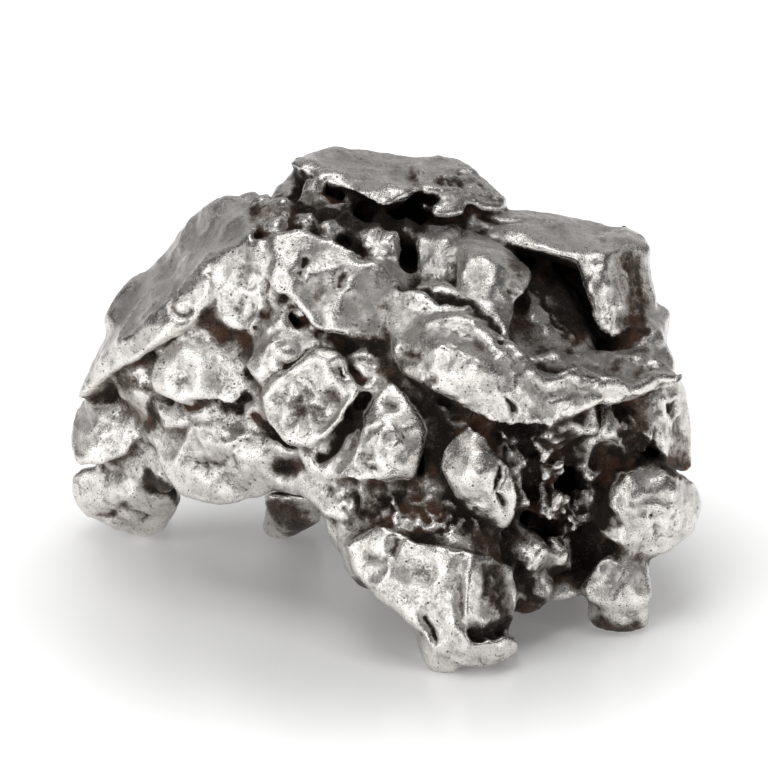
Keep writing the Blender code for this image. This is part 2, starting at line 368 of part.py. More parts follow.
def add_seams(stone):
    """The metal that closes the seams between neighbouring lumps, a little under their faces."""
    lump(stone, [(24.4, 24.8, 6.8), (28.8, 23.8, 7.4), (30.0, 28.0, 9.2), (29.4, 31.6, 9.0),
                 (26.2, 32.6, 7.4), (24.4, 33.4, 6.6)], 6.0, rounding=0.9)
    lump(stone, [(17.6, 30.0, 3.8), (23.6, 27.0, 6.0), (26.4, 32.6, 7.0), (25.6, 37.6, 6.2),
                 (23.6, 37.2, 5.2), (18.0, 34.6, 2.8)], 6.0, rounding=0.8)
    lump(stone, [(26.4, 31.2, 7.2), (30.0, 32.6, 8.8), (34.6, 33.8, 9.0), (34.6, 36.6, 9.4),
                 (31.0, 37.0, 8.8), (26.6, 38.6, 6.8)], 6.0, rounding=0.8)
    lump(stone, [(22.6, 37.6, 5.0), (27.0, 38.0, 6.6), (27.4, 43.0, 7.0), (23.0, 43.2, 4.6),
                 (18.6, 41.4, 1.4)], 6.0, rounding=0.8)
    lump(stone, [(14.4, 39.6, -4.0), (18.6, 39.6, 1.0), (20.4, 42.4, 1.8), (16.4, 45.2, -2.4),
                 (14.2, 44.2, -5.0)], 6.0, rounding=0.8)
    lump(stone, [(12.4, 43.0, -7.4), (16.6, 45.2, -5.0), (17.4, 49.0, -6.6), (13.0, 48.0, -10.6)],
         6.0, rounding=0.8)
    lump(stone, [(10.8, 37.0, -3.4), (15.8, 35.0, 0.6), (16.0, 40.6, -1.4), (12.0, 40.2, -5.6)],
         6.0, rounding=0.8)
    lump(stone, [(38.8, 28.6, 8.8), (44.0, 28.2, 8.2), (50.2, 30.4, 9.8), (51.4, 34.4, 12.6),
                 (46.0, 32.6, 12.0), (40.6, 33.4, 10.6)], 7.0, rounding=0.9)
    lump(stone, [(37.6, 28.8, 9.4), (41.0, 29.6, 10.2), (44.0, 32.0, 12.0), (42.2, 36.8, 13.2),
                 (40.0, 37.0, 11.6), (38.8, 33.0, 9.8)], 7.0, rounding=1.0)
    lump(stone, [(24.6, 20.6, -0.4), (28.2, 18.8, -2.4), (34.0, 19.6, 0.2), (34.4, 23.6, 4.2),
                 (29.0, 23.2, 5.8), (25.0, 23.4, 5.2)], 8.0, rounding=0.8)
    lump(stone, [(32.0, 18.0, -3.0), (46.0, 18.0, -3.6), (46.0, 23.0, -2.6), (33.0, 23.6, -1.6)],
         8.0, rounding=0.8)
    lump(stone, [(41.4, 20.2, 0.6), (46.8, 20.6, 0.0), (51.2, 21.4, -2.6), (48.2, 23.4, 0.6),
                 (43.6, 22.2, -1.4)], 8.0, rounding=0.8)
    lump(stone, [(52.4, 35.6, 12.2), (57.4, 37.6, 11.8), (60.4, 38.9, 11.2), (64.0, 38.8, 8.4),
                 (67.4, 37.8, 5.4), (66.0, 34.6, 2.2), (61.4, 36.0, 5.6), (57.0, 37.0, 9.0)],
         5.0, rounding=0.8)
    lump(stone, [(52.6, 28.6, 4.8), (56.4, 27.6, 2.0), (59.4, 33.4, 4.4), (59.4, 36.6, 6.6),
                 (55.0, 37.0, 9.0), (52.4, 35.0, 10.6)], 6.0, rounding=0.8)
    lump(stone, [(46.0, 60.0, 15.4), (50.2, 62.6, 13.4), (51.0, 64.6, 13.6), (47.0, 66.0, 14.6)],
         5.0, rounding=0.7)
    lump(stone, [(58.6, 52.0, 5.4), (65.0, 54.0, 4.8), (65.0, 57.6, 4.8), (59.0, 57.6, 5.6)],
         6.0, rounding=0.8)
    lump(stone, [(26.0, 44.6, 5.4), (30.4, 44.4, 8.4), (33.0, 47.6, 9.4), (30.4, 49.6, 6.4),
                 (26.6, 48.8, 3.2)], 6.0, rounding=0.7)
    lump(stone, [(32.5, 39.5, 10.0), (36.8, 40.5, 11.4), (36.8, 44.0, 11.8), (34.4, 47.8, 11.0),
                 (31.0, 47.4, 9.0), (29.4, 44.4, 8.4)], 7.0, rounding=0.6)
    lump(stone, [(34.0, 33.2, 8.6), (38.6, 33.4, 9.2), (40.8, 37.4, 10.8), (39.2, 39.2, 11.0),
                 (36.4, 38.4, 9.8), (34.6, 36.0, 9.6)], 6.0, rounding=0.6)
    lump(stone, [(39.4, 36.6, 10.4), (42.6, 38.0, 12.2), (45.6, 42.2, 13.6), (44.8, 46.8, 12.6),
                 (42.6, 45.2, 12.4), (41.4, 40.8, 11.4)], 7.0, rounding=0.6)
    lump(stone, [(34.4, 48.8, 11.0), (39.0, 47.4, 11.8), (44.0, 47.4, 12.4), (49.0, 51.8, 12.6),
                 (50.6, 56.0, 12.6), (46.0, 54.8, 15.2), (39.4, 52.8, 13.2), (35.4, 52.6, 11.2)],
         8.0, rounding=0.6)
    lump(stone, [(44.6, 42.0, 12.4), (50.6, 42.4, 13.0), (52.4, 46.4, 12.2), (52.2, 51.0, 11.8),
                 (47.0, 51.4, 12.2), (44.0, 47.0, 12.0)], 7.0, rounding=0.6)
    lump(stone, [(51.6, 27.4, 3.6), (54.4, 25.4, 0.4), (58.4, 29.8, 1.6), (59.8, 34.4, 3.4),
                 (57.0, 35.6, 6.0), (53.4, 31.6, 5.4)], 7.0, rounding=0.4)
    lump(stone, [(50.4, 31.6, 8.4), (53.6, 30.8, 5.6), (58.8, 36.2, 6.4), (55.4, 37.4, 10.6),
                 (52.2, 36.6, 12.2)], 7.0, rounding=0.4)


def add_gap_fills(stone):
    """Small pieces of metal at the bottom of the narrow gaps, so that no light comes through."""
    lump(stone, [(50.4, 28.6, 5.4), (53.4, 29.0, 4.0), (54.2, 32.6, 6.0), (50.8, 33.2, 8.8)],
         6.0, rounding=0.5)
    lump(stone, [(33.2, 50.6, 9.0), (37.2, 50.8, 10.8), (37.0, 54.2, 11.8), (34.0, 54.4, 9.6)],
         6.0, rounding=0.5)
    lump(stone, [(45.8, 61.4, 16.6), (49.6, 62.0, 15.4), (50.0, 64.6, 15.2), (46.6, 64.6, 16.4)],
         5.0, rounding=0.5)
    lump(stone, [(28.4, 17.2, -2.8), (31.2, 17.4, -1.8), (31.2, 19.6, 0.0), (28.6, 19.6, -0.8)],
         6.0, rounding=0.5)
    lump(stone, [(44.4, 24.4, 6.0), (46.6, 24.8, 6.6), (46.8, 28.9, 8.6), (44.4, 28.3, 7.0)],
         4.0, rounding=0.4)
    lump(stone, [(62.4, 39.2, 6.0), (66.6, 38.4, 4.6), (66.8, 41.6, 4.4), (62.6, 41.6, 5.2)],
         6.0, rounding=0.5)
    lump(stone, [(43.4, 40.2, 13.0), (47.6, 41.0, 14.0), (49.8, 43.2, 13.6), (45.0, 43.8, 13.2)],
         6.0, rounding=0.5)
    lump(stone, [(55.4, 53.2, 4.4), (59.4, 52.6, 4.0), (59.4, 57.0, 4.6), (55.4, 57.2, 5.0)],
         6.0, rounding=0.4)
    lump(stone, [(64.4, 38.4, 2.0), (68.0, 39.6, 1.0), (68.2, 42.6, 0.0), (64.4, 42.2, 2.0)],
         7.0, rounding=0.5)
    lump(stone, [(42.4, 44.8, 12.0), (45.4, 44.4, 12.6), (45.6, 48.8, 12.0), (42.2, 48.8, 12.0)],
         6.0, rounding=0.4)
    lump(stone, [(50.2, 42.2, 12.0), (53.0, 42.4, 12.0), (53.0, 45.2, 11.0), (50.4, 45.6, 11.4)],
         6.0, rounding=0.4)
    lump(stone, [(55.2, 46.6, 5.2), (58.0, 46.6, 4.8), (58.0, 49.6, 5.0), (55.2, 49.6, 5.2)],
         6.0, rounding=0.4)
    lump(stone, [(52.4, 50.8, 6.4), (55.6, 50.6, 5.6), (55.8, 53.8, 5.4), (52.6, 54.0, 6.8)],
         6.0, rounding=0.4)


def add_small_crystals(stone):
    """The small sharp crystals that roughen the large hollow and the gap under the top slab."""
    shuffle = random.Random(SEED)
    in_hollow = [
        (51.8, 44.6, 9.4), (54.4, 46.4, 8.2), (57.2, 44.6, 7.2), (60.0, 43.0, 6.4), (58.8, 47.2, 5.6),
        (54.2, 50.2, 8.0), (57.2, 51.4, 6.2), (52.4, 54.6, 9.6), (55.6, 55.2, 7.0), (59.6, 51.0, 4.6),
        (47.6, 52.6, 11.4), (43.6, 49.4, 11.2), (39.4, 49.6, 10.8), (63.0, 42.4, 4.6), (57.6, 41.8, 9.0),
        (54.8, 42.4, 10.6), (61.4, 45.6, 3.6), (50.6, 50.0, 10.6),
    ]
    under_slab = [
        (26.4, 20.6, 1.6), (28.4, 21.2, 3.4), (31.2, 19.0, 1.2), (33.8, 21.4, 3.8), (35.0, 22.8, 5.0),
        (30.6, 22.6, 5.0), (27.4, 22.6, 4.8), (38.6, 22.8, 2.2), (40.6, 23.2, 3.4), (35.4, 20.2, 0.4),
        (38.8, 24.6, 5.8), (33.0, 23.2, 5.6), (36.8, 23.8, 5.4),
    ]
    for places, least, most in ((in_hollow, 2.6, 5.0), (under_slab, 1.8, 3.4)):
        for place in places:
            size = [shuffle.uniform(least, most) for _ in range(3)]
            turn = [shuffle.uniform(-60.0, 60.0) for _ in range(3)]
            crystal(stone, seen(*place), size, turn, shuffle, rounding=0.25)


def add_hidden_sides(stone):
    """Blocks of the same crystals over the back, the left end and the underside."""
    shuffle = random.Random(SEED)
    places = [
        ((-14.5, 12.0, 31.0), (13, 8, 8), (14, -22, 32)),
        ((-3.0, 14.5, 34.0), (14, 9, 6), (-10, 12, -8)),
        ((7.5, 13.5, 30.0), (8, 8, 12), (6, 30, 12)),
        ((17.0, 11.0, 30.0), (13, 8, 6), (-16, 14, -20)),
        ((21.0, 8.5, 24.0), (8, 9, 10), (20, -12, 16)),
        ((-22.0, 9.5, 21.5), (9, 10, 14), (8, -28, 24)),
        ((-13.0, 14.5, 21.5), (10, 8, 8), (-14, 35, -20)),
        ((-3.5, 15.5, 25.5), (8, 9, 11), (12, -20, 30)),
        ((3.5, 16.0, 20.5), (8, 7, 8), (-24, 16, -34)),
        ((11.5, 15.0, 20.5), (14, 8, 9), (-10, -24, -18)),
        ((20.5, 9.5, 17.0), (9, 10, 9), (10, 22, 34)),
        ((-24.5, 10.5, 12.5), (8, 9, 8), (22, 10, -30)),
        ((-17.0, 13.5, 11.5), (12, 8, 7), (-12, -20, 12)),
        ((-7.0, 15.0, 14.5), (8, 9, 12), (8, 32, -16)),
        ((2.0, 14.0, 11.0), (9, 8, 8), (-20, -10, 28)),
        ((11.5, 12.5, 10.5), (9, 9, 11), (14, -30, 20)),
        ((20.0, 6.5, 9.5), (11, 8, 8), (-12, 18, -14)),
        ((-25.5, 13.5, 4.6), (8, 7, 8), (10, 14, 24)),
        ((4.5, 10.5, 4.8), (11, 8, 7), (-12, 12, 18)),
        ((16.0, 6.0, 4.8), (12, 8, 10.6), (4, -6, -12)),
        ((24.5, 3.5, 21.0), (7, 9, 18), (4, 6, -10)),
        ((23.5, 1.5, 11.5), (8, 9, 12), (-6, 4, 12)),
        ((-9.2, 15.2, 5.0), (6, 7, 9), (8, -6, 10)),
    ]
    for centre, size, turn in places:
        crystal(stone, centre, size, turn, shuffle)


def block_mesh():
    """All the blocks in one mesh, still crossing each other, cut flat where the stone rests."""
    stone = bmesh.new()
    for add in (add_core, add_top_slab, add_left_flank, add_shoulder, add_left_lumps,
                add_dish_and_blade, add_bulge, add_ledge, add_right_top, add_right_flank,
                add_hollow_walls, add_front_foot, add_seams, add_gap_fills,
                add_small_crystals, add_hidden_sides):
        add(stone)
    mesh = bpy.data.meshes.new("blocks")
    stone.to_mesh(mesh)
    stone.free()
    return mesh


def evaluated(holder):
    """A new mesh of the object as its modifiers leave it."""
    graph = bpy.context.evaluated_depsgraph_get()
    graph.update()
    return bpy.data.meshes.new_from_object(holder.evaluated_get(graph))


def one_skin(mesh):
    """Grows the blocks together into one skin of even grain, and smooths it a little."""
    holder = bpy.data.objects.new("skin", mesh)
    bpy.context.scene.collection.objects.link(holder)
    remesh = holder.modifiers.new("one skin", "REMESH")
    remesh.mode = "VOXEL"
    remesh.voxel_size = SKIN_GRAIN
    smooth = holder.modifiers.new("soften", "SMOOTH")
    smooth.factor = 0.5
    smooth.iterations = SMOOTHING_PASSES
    skin = evaluated(holder)
    bpy.data.objects.remove(holder)
    return skin


def keep_outer_shell(stone):
    """Deletes every closed shell but the largest, so that no pocket is left sealed inside."""
    left = set(stone.verts)
    shells = []
    while left:
        shell = [left.pop()]
        for vert in shell:
            for edge in vert.link_edges:
                other = edge.other_vert(vert)
                if other in left:
                    left.remove(other)
                    shell.append(other)
        shells.append(shell)
    shells.sort(key=len)
    for shell in shells[:-1]:
        bmesh.ops.delete(stone, geom=shell, context="VERTS")


def press_hollows(stone):
    """Pushes each hollow into the surface that is seen there, deepest at its middle."""
    tree = BVHTree.FromBMesh(stone)
    towards_eye = Vector((0.0, -math.cos(VIEW_TIP), math.sin(VIEW_TIP)))
    stone.normal_update()
    moves = {}
    for vert in stone.verts:
        if vert.normal.dot(towards_eye) < LEAST_LEAN:
            continue
        across, down, _ = across_down_out(vert.co)
        depth = 0.0
        for middle_across, middle_down, reach, most in HOLLOWS:
            share = math.hypot(across - middle_across, down - middle_down) / reach
            if share < 1.0:
                depth += most * (1.0 - share * share) ** 2
        if depth and tree.ray_cast(vert.co + SIGHT_START * vert.normal, towards_eye)[0] is None:
            moves[vert] = vert.co - depth * vert.normal
    for vert, place in moves.items():
        vert.co = place


def bare_metal():
    """The burnished iron that the whole stone is made of."""
    metal = bpy.data.materials.new("burnished iron")
    metal.use_nodes = True
    shader = metal.node_tree.nodes["Principled BSDF"]
    shader.inputs["Base Color"].default_value = METAL_COLOUR
    shader.inputs["Metallic"].default_value = 1.0
    shader.inputs["Roughness"].default_value = METAL_ROUGHNESS
    return metal


def main():
    for thing in list(bpy.data.objects):
        bpy.data.objects.remove(thing)
    skin = one_skin(block_mesh())
    stone = bmesh.new()
    stone.from_mesh(skin)
    keep_outer_shell(stone)
    press_hollows(stone)
    stone.to_mesh(skin)
    stone.free()
    holder = bpy.data.objects.new("stone", skin)
    bpy.context.scene.collection.objects.link(holder)
    decimate = holder.modifiers.new("fewer faces", "DECIMATE")
    decimate.ratio = TRIANGLES / (2 * len(skin.polygons))
    mesh = evaluated(holder)
    bpy.data.objects.remove(holder)
    middle = Vector((*FOOTPRINT_MIDDLE, 0.0))
    for vert in mesh.vertices:
        if vert.co.z < FOOT_FLAT:
            vert.co.z = 0.0
        vert.co = (vert.co - middle) * MM
    mesh.name = "meteorite"
    mesh.materials.append(bare_metal())
    meteorite = bpy.data.objects.new("meteorite", mesh)
    bpy.context.scene.collection.objects.link(meteorite)


main()
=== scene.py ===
"""A hand-sized iron meteorite with exposed blocky crystals: its skin, its finish and its stage.

The stone is grown from the same lumps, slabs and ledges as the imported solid, at a finer grain, then
worked over: creases, ridges and hollows are pressed in where they are seen, and the whole skin gets
the shallow bowls, dents and grain of burnished iron. Places on the front are (across, down, out) in
millimetres, in a frame that is tipped back by VIEW_TIP; places on the hidden sides are (x, y, z).
"""

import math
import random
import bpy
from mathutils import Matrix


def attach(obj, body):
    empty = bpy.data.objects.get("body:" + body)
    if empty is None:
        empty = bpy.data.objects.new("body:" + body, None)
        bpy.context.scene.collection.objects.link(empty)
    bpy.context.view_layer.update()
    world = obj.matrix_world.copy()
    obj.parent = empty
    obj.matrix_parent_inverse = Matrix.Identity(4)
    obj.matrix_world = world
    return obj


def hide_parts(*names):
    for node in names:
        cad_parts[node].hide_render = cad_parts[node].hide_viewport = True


bl_info = {
    "name": "Iron meteorite",
    "version": (1, 0, 0),
    "blender": (4, 5, 0),
    "location": "View3D > Sidebar > Meteorite",
    "description": "Grows the skin of an iron meteorite, gives it its finish and sets its stage",
    "category": "Add Mesh",
}

from types import SimpleNamespace

import bmesh
import bpy
import numpy as np
from bpy.props import FloatProperty, FloatVectorProperty, IntProperty, PointerProperty
from mathutils import Euler, Vector, noise
from mathutils.bvhtree import BVHTree

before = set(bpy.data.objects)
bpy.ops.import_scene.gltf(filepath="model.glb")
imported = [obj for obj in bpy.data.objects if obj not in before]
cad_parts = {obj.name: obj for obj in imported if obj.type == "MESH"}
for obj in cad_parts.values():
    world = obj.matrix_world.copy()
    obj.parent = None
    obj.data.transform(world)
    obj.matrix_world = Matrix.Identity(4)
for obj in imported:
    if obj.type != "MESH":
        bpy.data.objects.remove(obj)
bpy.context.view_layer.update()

# The placing frame, in millimetres: its tip, its middle, its height over the floor, and where the
# middle of the stone's footprint lies before it is moved over the origin.
MM = 0.001
VIEW_TIP = math.radians(22.0)
FRAME_MIDDLE_ACROSS = 38.4
FRAME_MIDDLE_DOWN = 40.8
FRAME_HEIGHT = 19.2
FOOTPRINT_MIDDLE = (0.0, -1.13)
TOWARDS_EYE = Vector((0.0, -math.cos(VIEW_TIP), math.sin(VIEW_TIP)))
# The middle of the picture, across and down.
PICTURE_MIDDLE = (38.4, 38.4)
SEED = 7

# The blocks, with the rounding of their edges in millimetres. Parts of a face that turn by less than
# FLAT_WITHIN are made one, and the corners of a block on a hidden side, or of a small crystal, lie
# out by these shares of a true box's half sides.
EDGE_ROUNDING = 0.7
CORE_ROUNDING = 1.0
FLAT_WITHIN = math.radians(4)
CORNER_SHARES = (0.8, 1.08)

# The skin: smoothing passes on the blocks and on the relief, the size of the bowls and of the dents
# in them in millimetres, and where the noise of the broad swell starts.
PASSES_ON_BLOCKS = 4
PASSES_ON_RELIEF = 2
BOWL_SIZE = 4.4
DENT_SIZE = 1.7
SWELL_START = Vector((9.0, 2.0, 5.0))

# A place is seen when it leans at least this far to the eye and a line of sight that starts this
# far off the surface is free.
LEAST_LEAN = 0.05
SIGHT_START = 0.05
# How the open sky is looked for, for the painted shade in the hollows: how many ways, how far, from how
# far off the surface. A way that is drawn shorter than SHORTEST_WAY is drawn again.
SKY_RAYS = 14
SKY_REACH = 13.0
SKY_START = 0.06
SHORTEST_WAY = 0.1
# How often the surface is averaged to find what stands out of it, for fine rims and for whole lumps.
PASSES_FOR_RIMS = 6
PASSES_FOR_LUMPS = 40
# The most darkening that the patina lines and the undersides may give, mostly painted shade.
MOST_PATINA_AND_SHADE = 1.3

# The two blacks: of the places that no light reaches, and of the pits and scratches.
SHUT_IN_BLACK = (0.016, 0.012, 0.010, 1.0)
MARK_BLACK = (0.02, 0.015, 0.012, 1.0)

# The stage, in metres and watts. The floor glows as painted light, faint by the stone, which paints a
# shadow round it, and brighter between two distances from it; each soft light has a name, a place, an
# aim, a width, a height and a power.
HALF_FLOOR = 3.0
GLOW_GROWS = (0.018, 0.055)
FARTHEST_SEEN = 20.0
ROOM_COLOUR = (0.96, 0.95, 0.94, 1.0)
ROOM_STRENGTH = 0.10
SOFT_LIGHTS = (
    ("left box", (-0.55, -0.55, 0.32), (0.0, 0.0, 0.02), 0.60, 0.70, 2.6),
    ("right box", (0.60, -0.35, 0.12), (0.0, 0.0, 0.02), 0.20, 0.30, 0.5),
    ("top box", (-0.05, -0.05, 0.90), (0.0, 0.0, 0.0), 0.60, 0.60, 3.0),
    ("back card", (0.0, 1.4, 0.62), (0.0, 0.0, 0.02), 2.4, 0.8, 3.2),
)


def seen(across, down, out):
    """A place on the front, as it is looked at, in the stone's own millimetres."""
    rise = FRAME_MIDDLE_DOWN - down
    y = rise * math.sin(VIEW_TIP) - out * math.cos(VIEW_TIP)
    z = rise * math.cos(VIEW_TIP) + out * math.sin(VIEW_TIP) + FRAME_HEIGHT
    return Vector((across - FRAME_MIDDLE_ACROSS, y, z))


def add_hull(stone, places, rounding):
    """Adds one convex block round these places, with its edges rounded, to the stone's mesh."""
    block = bmesh.new()
    for place in places:
        block.verts.new(place)
    hull = bmesh.ops.convex_hull(block, input=block.verts)
    inside = [item for item in hull["geom_interior"] if isinstance(item, bmesh.types.BMVert)]
    bmesh.ops.delete(block, geom=inside, context="VERTS")
    bmesh.ops.dissolve_limit(block, angle_limit=FLAT_WITHIN, verts=block.verts, edges=block.edges)
    bmesh.ops.bevel(block, geom=block.edges, offset=rounding, segments=2, profile=0.5,
                    affect="EDGES", clamp_overlap=True)
    bmesh.ops.triangulate(block, faces=block.faces)
    bmesh.ops.recalc_face_normals(block, faces=block.faces)
    mesh = bpy.data.meshes.new("block")
    block.to_mesh(mesh)
    block.free()
    stone.from_mesh(mesh)
    bpy.data.meshes.remove(mesh)


def lump(stone, front, depth, taper=0.8, shift=(0.0, 0.0), rounding=EDGE_ROUNDING):
    """A lump on the front: the outline that is seen, and the same outline drawn in behind it."""
    count = len(front)
    middle = [sum(place[axis] for place in front) / count for axis in range(3)]
    places = [seen(*place) for place in front]
    for across, down, out in front:
        back_across = middle[0] + taper * (across - middle[0]) + shift[0]
        back_down = middle[1] + taper * (down - middle[1]) + shift[1]
        places.append(seen(back_across, back_down, out - depth))
    add_hull(stone, places, rounding)


def crystal(stone, centre, size, turn, shuffle, rounding=1.2):
    """A block on a hidden side: a box with its corners a little out of true, turned in place."""
    rotation = Euler([math.radians(angle) for angle in turn]).to_matrix()
    corners = []
    for side_x in (-1, 1):
        for side_y in (-1, 1):
            for side_z in (-1, 1):
                reach = [0.5 * shuffle.uniform(*CORNER_SHARES) for _ in range(3)]
                corner = Vector((side_x * size[0] * reach[0], side_y * size[1] * reach[1],
                                 side_z * size[2] * reach[2]))
                corners.append(Vector(centre) + rotation @ corner)
    add_hull(stone, corners, rounding)


def add_core(stone):
    """The mass behind all the lumps."""
    for on_the_front, hidden in [
        ([(14, 31.5, -2), (17, 27, -2), (24, 25, 4.5), (30, 23, 0), (36, 22.5, -3), (46, 22.5, -3),
          (56, 25, -3), (62, 27, -3), (24, 36, 5), (31, 35, 7), (40, 34, 8), (50, 33, 7.5), (60, 35, 2),
          (64, 37, 0)],
         [(-20, 10, 24), (-6, 13, 33), (15, 11, 29), (21, 7, 26), (0, 14, 22), (-22, 9, 18)]),
        ([(11, 37, -3), (15, 34, 0), (22, 33, 4), (16, 40, -1), (22, 41, 2), (13, 42, -8), (17, 46, -6),
          (24, 46, 2)],
         [(-24, 10, 18), (-20, 12, 8), (-8, 12, 12), (-14, 12, 24)]),
        ([(17, 38, -2), (22, 38, 4), (30, 36, 7), (36, 36, 7), (44, 37, 9), (50, 38, 9), (60, 40, 2),
          (65, 42, 0), (18, 47, -5), (26, 48, 2), (34, 49, 6), (44, 48, 7), (52, 47, 3), (60, 48, 0),
          (65, 50, 0), (62, 55, 1)],
         [(-20, 11, 16), (-8, 13, 10), (8, 12, 8), (18, 8, 10), (21, 5, 22), (0, 14, 26)]),
        ([(33, 50, 6), (40, 52, 9), (48, 54, 8), (56, 54, 0), (36, 57, 6), (44, 60, 6), (50, 61, 5)],
         [(-4, 8, 8), (10, 8, 5), (16, 4, 10), (0, 6, 14)]),
        ([],
         [(-19, 15, 27), (-5, 17, 31), (9, 17, 27), (20, 12.5, 26), (22, 11, 16), (12, 15.5, 12),
          (-4, 17, 13), (-18, 15.5, 11), (-24, 12.5, 18), (0, 6, 22)]),
    ]:
        places = [seen(*place) for place in on_the_front]
        places += [Vector(place) for place in hidden]
        add_hull(stone, places, CORE_ROUNDING)


def add_top_slab(stone):
    """The thin slab along the top, with a broken rim, over a dark hollow."""
    lump(stone, [(28.9, 16.3, -0.6), (30.0, 15.1, -5.0), (32.5, 14.6, -6.0), (34.0, 14.2, -6.5),
                 (40.0, 14.9, -6.0), (45.5, 15.7, -5.0), (47.2, 16.8, -3.5), (41.5, 19.0, 2.2),
                 (38.5, 20.6, 4.2), (35.5, 19.2, 3.2), (32.6, 18.0, 1.5)],
         3.2, taper=0.97, shift=(0.0, 0.8), rounding=0.7)
    lump(stone, [(29.0, 16.6, -1.2), (31.6, 16.8, 0.0), (32.4, 18.6, 0.6), (30.2, 18.4, -0.6)],
         5.0, rounding=0.5)
    lump(stone, [(41.0, 16.2, -2.0), (46.6, 16.5, -3.5), (49.2, 18.2, -3.0), (51.0, 20.6, -1.5),
                 (49.0, 21.2, 0.5), (46.0, 19.4, 1.8), (43.0, 18.2, 2.0), (41.3, 19.2, 2.4)],
         5.0, taper=0.9, rounding=0.5)
    lump(stone, [(43.0, 20.6, 2.6), (44.6, 19.9, 2.4), (46.5, 20.1, 1.8), (46.6, 21.4, 2.2),
                 (44.6, 21.8, 3.0), (43.2, 21.6, 3.2)], 4.0, rounding=0.6)
    lump(stone, [(26.9, 19.2, -1.0), (27.6, 18.2, -1.8), (29.4, 17.9, -1.6), (29.6, 19.8, 0.2),
                 (27.4, 20.2, 0.4)], 6.0, rounding=0.7)
    lump(stone, [(29.6, 20.2, 2.6), (31.0, 19.3, 2.4), (32.9, 20.0, 2.8), (33.0, 21.8, 4.0),
                 (31.4, 22.7, 4.6), (29.8, 21.8, 4.2)], 6.0, rounding=0.9)
    lump(stone, [(25.0, 20.6, 0.6), (27.0, 20.0, 0.4), (29.6, 20.6, 2.0), (29.4, 22.4, 4.0),
                 (25.6, 22.4, 3.6)], 6.0, rounding=0.7)
    lump(stone, [(36.1, 20.2, 0.2), (37.3, 20.4, 0.4), (37.4, 23.4, 1.6), (36.0, 23.4, 1.6)],
         4.0, rounding=0.4)


def add_left_flank(stone):
    """The smooth slab that slopes down to the left, and the bright ledge under it."""
    lump(stone, [(25.2, 23.4, 7.2), (26.6, 20.2, 0.0), (23.7, 19.5, -1.4), (21.6, 19.9, -3.0),
                 (17.8, 22.8, -6.2), (15.4, 26.0, -7.4), (18.2, 28.9, 4.0), (22.8, 25.6, 6.4)],
         5.0, taper=0.85, shift=(1.0, 2.2), rounding=0.6)
    lump(stone, [(18.4, 28.8, 4.0), (15.4, 25.9, -7.2), (13.4, 28.8, -7.6), (11.2, 32.0, -7.6),
                 (10.2, 35.8, -7.4), (7.2, 40.0, -8.4), (9.6, 39.2, -6.0), (10.6, 37.4, -2.6),
                 (11.6, 34.1, -0.6), (15.0, 30.3, 2.2)],
         4.5, taper=0.85, shift=(1.4, 1.6), rounding=0.6)
    lump(stone, [(10.7, 37.6, -2.0), (11.6, 34.5, 0.0), (15.0, 30.9, 3.0), (18.4, 29.4, 4.8),
                 (20.8, 27.4, 5.6), (21.6, 29.6, 6.0), (19.8, 31.9, 5.2), (16.0, 34.2, 4.0),
                 (13.2, 36.3, 1.6)], 5.5, taper=0.85, shift=(1.0, 0.0), rounding=0.7)


def add_shoulder(stone):
    """The broad dented face at the upper middle."""
    lump(stone, [(24.2, 24.3, 7.2), (29.8, 23.0, 8.0), (33.8, 24.1, 8.5), (36.6, 25.6, 9.0),
                 (40.0, 28.0, 9.2), (40.0, 32.0, 9.6), (38.8, 35.2, 9.4), (35.0, 34.4, 9.8),
                 (31.0, 33.4, 10.0), (28.2, 30.0, 9.8), (30.0, 27.0, 9.9), (35.0, 29.0, 10.6)],
         8.0, taper=0.85, rounding=0.8)
    lump(stone, [(21.4, 27.0, 5.8), (25.2, 23.7, 7.4), (27.0, 25.0, 8.2), (27.4, 29.6, 8.6),
                 (26.4, 31.2, 7.9), (24.5, 34.2, 7.0), (22.2, 32.6, 5.8), (21.2, 30.0, 5.4)],
         6.0, taper=0.85, rounding=0.7)
    lump(stone, [(36.0, 25.2, 7.6), (37.4, 24.5, 7.0), (39.8, 25.8, 6.6), (41.4, 28.0, 7.6),
                 (40.0, 28.8, 8.6), (37.0, 27.0, 9.0)], 6.0, rounding=0.5)
    lump(stone, [(39.6, 28.4, 9.6), (42.5, 29.0, 9.8), (46.0, 30.4, 10.6), (48.2, 31.4, 11.0),
                 (50.4, 33.7, 11.6), (47.0, 32.0, 12.0), (43.0, 31.6, 11.4), (40.6, 33.6, 11.0),
                 (39.4, 32.4, 10.2)], 6.0, taper=0.9, rounding=0.5)


